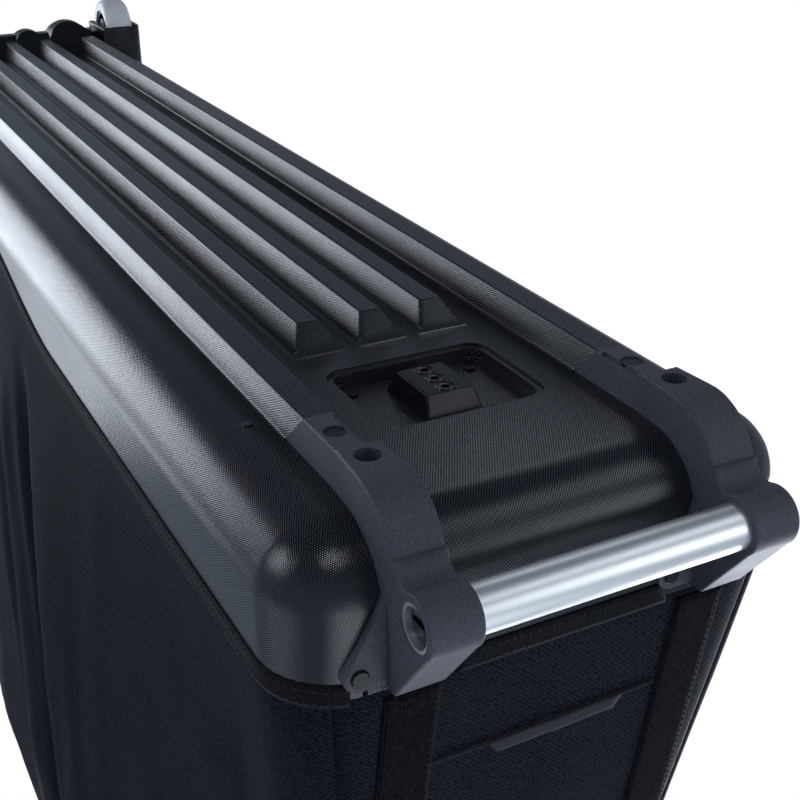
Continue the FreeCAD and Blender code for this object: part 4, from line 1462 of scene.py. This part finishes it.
@dataclass
class Zip:
    """The row of moulded teeth of the zip, round three sides of the top."""

    form: BodyForm
    finishes: Finishes
    pitch: float = 3.2 * MM
    tooth: Point = (2.0 * MM, 2.2 * MM, 4.6 * MM)
    proud: float = 1.2 * MM
    hinge_share: float = 0.84
    rounding: float = 0.4 * MM

    def line(self, along: float, z: float, out: float) -> tuple[Vector, Vector]:
        """A point on the zip's line.

        Args:
            along: Distance along the outline.
            z: Height.
            out: Distance proud of the neck.

        Returns:
            The point and the outward direction.
        """
        flat = self.form.neck_z + self.form.neck_h / 2
        normal = self.form.outward(along, flat)
        spot = self.form.point(along, flat)
        return Vector((spot.x, spot.y, z)) + normal * out, normal

    def build(self) -> None:
        """Make the teeth."""
        low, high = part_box("zip_chain")
        mid_z = (low.z + high.z) / 2
        quarter = self.form.reach()
        end, corner, flare = self.form.runs()[:3]
        start = end + corner + self.hinge_share * flare
        mesh = bmesh.new()
        for number in range(int(2 * (quarter + start) / self.pitch)):
            spot, normal = self.line(start - (number + 0.5) * self.pitch, mid_z, self.proud)
            ahead = Vector((-normal.y, normal.x, 0))
            turn = Matrix((ahead, normal, Vector((0, 0, 1)))).transposed().to_4x4()
            grow = Matrix.Diagonal((*self.tooth, 1))
            bmesh.ops.create_cube(mesh, size=1, matrix=Matrix.Translation(spot) @ turn @ grow)
        teeth = piece("zip_teeth", mesh, self.finishes.teeth)
        round_off = teeth.modifiers.new("edges", "BEVEL")
        round_off.width = self.rounding
        round_off.segments = 1
        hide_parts("zip_chain")


@dataclass
class Inside:
    """The foam pad on the tray's floor and the grooved block that the frame rests on."""

    finishes: Finishes
    pad_corner: float = 20 * MM
    pad_edge: float = 3 * MM
    rest_edge: float = 2.5 * MM
    rest_angle: float = 35

    def pad(self) -> None:
        """The floor pad, with its corners and its upper edges rounded."""
        low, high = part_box("floor_pad")
        size = high - low
        mesh = bmesh.new()
        block = Matrix.Translation((low + high) / 2) @ Matrix.Diagonal((*size, 1))
        bmesh.ops.create_cube(mesh, size=1, matrix=block)
        options = {"offset_type": "OFFSET", "affect": "EDGES", "profile": 0.5, "material": -1}
        upright = [
            edge for edge in mesh.edges
            if abs(edge.verts[0].co.z - edge.verts[1].co.z) > size.z / 2
        ]
        bmesh.ops.bevel(mesh, geom=upright, offset=self.pad_corner, segments=6, **options)
        top = [edge for edge in mesh.edges if min(vert.co.z for vert in edge.verts) > high.z - 1e-6]
        bmesh.ops.bevel(mesh, geom=top, offset=self.pad_edge, segments=3, **options)
        settle_normals(mesh)
        pad = piece("foam_floor_pad", mesh, self.finishes.foam)
        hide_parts("floor_pad")

    def rest(self) -> None:
        """The frame rest, a copy of its solid with softened edges."""
        mesh = bmesh.new()
        mesh.from_mesh(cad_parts["frame_rest_block"].data)
        settle_normals(mesh)
        rest = piece("foam_frame_rest", mesh, self.finishes.foam)
        edges = rest.modifiers.new("edges", "BEVEL")
        edges.width = self.rest_edge
        edges.segments = 3
        edges.limit_method = "ANGLE"
        edges.angle_limit = math.radians(self.rest_angle)
        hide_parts("frame_rest_block")

    def build(self) -> None:
        """Make the pad and the rest."""
        self.pad()
        self.rest()


@dataclass
class SocketEyelets:
    """Glossy rings round the three holes of the wheel socket block."""

    finishes: Finishes
    pitch: float = 13.5 * MM
    # The profile of a ring: radius and rise in millimetres.
    rings: tuple[Pair, ...] = (
        (2.75, 0.03), (3.5, 0.06), (4.7, 0.25), (5.5, 0.70), (5.9, 0.85), (6.25, 0.65), (6.45, 0.02),
    )
    sides: int = 40

    def build(self) -> None:
        """Spin the ring's profile round each hole."""
        low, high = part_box("wheel_socket_block")
        middle = (low + high) / 2
        mesh = bmesh.new()
        for number in (-1, 0, 1):
            centre = Vector((middle.x + number * self.pitch, middle.y, low.z))
            profile = [centre + Vector((radius, 0, -rise)) * MM for radius, rise in self.rings]
            line = [mesh.verts.new(point) for point in profile]
            edges = [mesh.edges.new(pair) for pair in zip(line, line[1:])]
            bmesh.ops.spin(mesh, geom=line + edges, cent=centre, axis=(0, 0, 1), angle=2 * math.pi,
                           steps=self.sides, use_merge=True)
        settle_normals(mesh)
        piece("socket_eyelets", mesh, self.finishes.gloss)


class HardParts:
    """The CAD nodes that keep their own shape and get a finish."""

    def __init__(self, finishes: Finishes) -> None:
        """Say which finish each node takes.

        Args:
            finishes: All the finishes.
        """
        self.table = {
            "base_tray": finishes.sheet,
            "rear_bumper": finishes.smooth,
            "wheel_socket_block": finishes.smooth,
            "handle_tube": finishes.tube,
            "handle_tube_plugs": finishes.plug,
            "bracket_screws": finishes.smooth,
            "bracket_bolts": finishes.black_metal,
            "bracket_rivets": finishes.smooth,
            "recess_screws": finishes.black_metal,
            "tray_rivets": finishes.rivet,
            "bumper_screws": finishes.black_metal,
            "corner_poles": finishes.pole,
            "pole_sockets": finishes.plug,
        }
        for side in ("left", "right"):
            self.table[f"front_{side}_bracket"] = finishes.nylon
            self.table[f"rear_{side}_wheel_housing"] = finishes.smooth
            self.table[f"rear_{side}_tyre"] = finishes.tyre
            self.table[f"rear_{side}_hub"] = finishes.hub
            for part in ("bearings", "axle_bolt", "axle_nut", "axle_spacers"):
                self.table[f"rear_{side}_{part}"] = finishes.steel
        for end in ("front", "rear"):
            self.table[f"zip_{end}_slider"] = finishes.black_metal
            self.table[f"zip_{end}_pull"] = finishes.black_metal

    def dress(self, angle: float = 28) -> None:
        """Give every node its finish and smooth shading.

        Args:
            angle: Edges sharper than this, in degrees, stay crisp.
        """
        for name, finish in self.table.items():
            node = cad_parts[name]
            node.data.materials.clear()
            node.data.materials.append(finish)
            node.data.polygons.foreach_set("material_index", [0] * len(node.data.polygons))
            node.data.polygons.foreach_set("use_smooth", [True] * len(node.data.polygons))
            weld = node.modifiers.new("weld", "WELD")
            weld.merge_threshold = 1e-6
            split = node.modifiers.new("crisp", "EDGE_SPLIT")
            split.split_angle = math.radians(angle)
            even = node.modifiers.new("even", "WEIGHTED_NORMAL")
            even.weight = 60
            log.info("%s dressed in %s", name, finish.name)


@dataclass(frozen=True)
class Softbox:
    """A soft light, placed as the photograph sees it and facing the case."""

    name: str
    turn: float
    lift: float
    distance: float
    size: Pair
    glow: float
    target: Point = (0.35, 0, 0.08)
    colour: Colour = (0.87, 0.92, 1.0)

    def build(self) -> None:
        """Add the light."""
        turn, lift = math.radians(self.turn), math.radians(self.lift)
        level = math.cos(lift)
        away = Vector((-level * math.cos(turn), level * math.sin(turn), -math.sin(lift)))
        data = bpy.data.lights.new(self.name, "AREA")
        data.shape = "RECTANGLE"
        data.size, data.size_y = self.size
        data.energy = self.glow * math.pi * self.size[0] * self.size[1]
        data.color = self.colour
        made = bpy.data.objects.new(self.name, data)
        made.location = Vector(self.target) + away * self.distance
        made.rotation_euler = (-away).to_track_quat("-Z", "Y").to_euler()
        made.visible_camera = False
        bpy.context.scene.collection.objects.link(made)


@dataclass(frozen=True)
class Studio:
    """Floor, light and camera. The photograph shows the case standing on its lid."""

    eye: Point = (1.15397, 0.35571, -0.27858)
    look: Point = (-0.79461, -0.41825, 0.44007)
    up: Point = (0, 0, -1)
    focal_px: float = 1260.25
    image_px: float = 800
    sensor: float = 36
    floor_size: float = 80
    floor_grey: float = 0.08
    floor_glow: float = 0.82
    room: Colour = (0.70, 0.82, 1.0)
    # How the room fades: from and to which slope of the view, and the strength at each.
    fade: tuple[float, float, float, float] = (-0.52, -0.2, 0.12, 0.34)

    def lights(self) -> list[Softbox]:
        """The soft lights: eight for the photograph's view, then four above the floor.

        Returns:
            The lights.
        """
        return [
            Softbox("far_left_panel", 22, 3, 3.2, (1.45, 1.6), 5.0),
            Softbox("far_left_low", 20, -20, 3.2, (1.1, 0.8), 1.7),
            Softbox("left_box", 78, 26, 2.0, (0.9, 0.8), 3.6),
            Softbox("front_top_right", -131, 46, 2.0, (1.3, 0.36), 1.9),
            Softbox("edge_strip", -43, 41, 2.0, (0.7, 0.10), 5.0),
            Softbox("top_front", 162, 54, 2.0, (0.8, 0.35), 5.0),
            Softbox("front_mid", -147, 11, 2.2, (0.8, 1.1), 2.1),
            Softbox("front_low", 178, -30, 2.2, (1.6, 1.2), 1.7),
            Softbox("overhead", -28, -70, 2.9, (2.6, 2.0), 3.2),
            Softbox("right_box", -78, -42, 2.6, (2.2, 1.2), 8.0),
            Softbox("left_high", 92, -34, 2.4, (1.6, 0.8), 0.5),
            Softbox("rear_box", -14, -40, 2.8, (1.6, 1.2), 8.0),
        ]

    def floor(self) -> None:
        """A pale floor that is see-through from below."""
        mesh = bmesh.new()
        bmesh.ops.create_grid(mesh, x_segments=1, y_segments=1, size=self.floor_size / 2)
        data = bpy.data.meshes.new("studio_floor")
        mesh.to_mesh(data)
        mesh.free()
        made = bpy.data.objects.new("studio_floor", data)
        bpy.context.scene.collection.objects.link(made)
        paint = Shader("studio_floor")
        grey = self.floor_grey
        data.materials.append(paint.finish({
            "Base Color": (grey, grey, grey, 1),
            "Roughness": 0.9,
            "Emission Color": (1, 1, 1, 1),
            "Emission Strength": self.floor_glow,
        }))
        below = paint.node("ShaderNodeNewGeometry").outputs["Backfacing"]
        clear = paint.node("ShaderNodeBsdfTransparent").outputs[0]
        mix_shaders(paint.tree, "Material Output", below, paint.surface.outputs[0], clear)
        made.visible_diffuse = False
        made.visible_glossy = False
        made.visible_shadow = False

    def sky(self) -> None:
        """White behind the case, and a dimmer room for it to stand in."""
        world = bpy.data.worlds.new("studio")
        bpy.context.scene.world = world
        world.use_nodes = True
        tree = world.node_tree
        back = tree.nodes["Background"]
        back.inputs["Color"].default_value = (*self.room, 1)
        way = tree.nodes.new("ShaderNodeSeparateXYZ")
        tree.links.new(tree.nodes.new("ShaderNodeTexCoord").outputs["Generated"], way.inputs[0])
        fade = tree.nodes.new("ShaderNodeMapRange")
        for name, value in zip(("From Min", "From Max", "To Min", "To Max"), self.fade):
            fade.inputs[name].default_value = value
        tree.links.new(way.outputs["Z"], fade.inputs["Value"])
        tree.links.new(fade.outputs["Result"], back.inputs["Strength"])
        white = tree.nodes.new("ShaderNodeBackground")
        white.inputs["Color"].default_value = (1, 1, 1, 1)
        seen = tree.nodes.new("ShaderNodeLightPath").outputs["Is Camera Ray"]
        mix_shaders(tree, "World Output", seen, back.outputs[0], white.outputs[0])

    def camera(self) -> None:
        """The camera at the photograph's place, with the case's base to the top of the picture."""
        back = -Vector(self.look).normalized()
        right = Vector(self.up).cross(back).normalized()
        top = back.cross(right)
        data = bpy.data.cameras.new("photo_camera")
        data.sensor_width = self.sensor
        data.lens = self.focal_px / self.image_px * self.sensor
        data.clip_start = 0.01
        made = bpy.data.objects.new("photo_camera", data)
        turn = Matrix((right, top, back)).transposed().to_4x4()
        made.matrix_world = Matrix.Translation(Vector(self.eye)) @ turn
        bpy.context.scene.collection.objects.link(made)
        bpy.context.scene.camera = made

    def build(self) -> None:
        """Add everything that isn't part of the case."""
        bpy.context.scene.view_settings.view_transform = "Standard"
        self.floor()
        self.sky()
        for light in self.lights():
            light.build()
        self.camera()


def main() -> None:
    """Build the case piece by piece, then the studio round it."""
    logging.basicConfig(level=logging.INFO, format="%(message)s")
    finishes = Finishes()
    form = BodyForm()
    stitches = Stitches()
    HardParts(finishes).dress()
    SocketEyelets(finishes).build()
    soft = SoftBody(form, finishes)
    soft.build()
    RimBinding(form, finishes, stitches).build()
    FrontTrim(soft, finishes, stitches).build()
    lid = Lid(form, finishes)
    lid.build()
    HingeTape(lid, finishes).build()
    Zip(form, finishes).build()
    Inside(finishes).build()
    Studio().build()


if __name__ == "__main__":
    main()
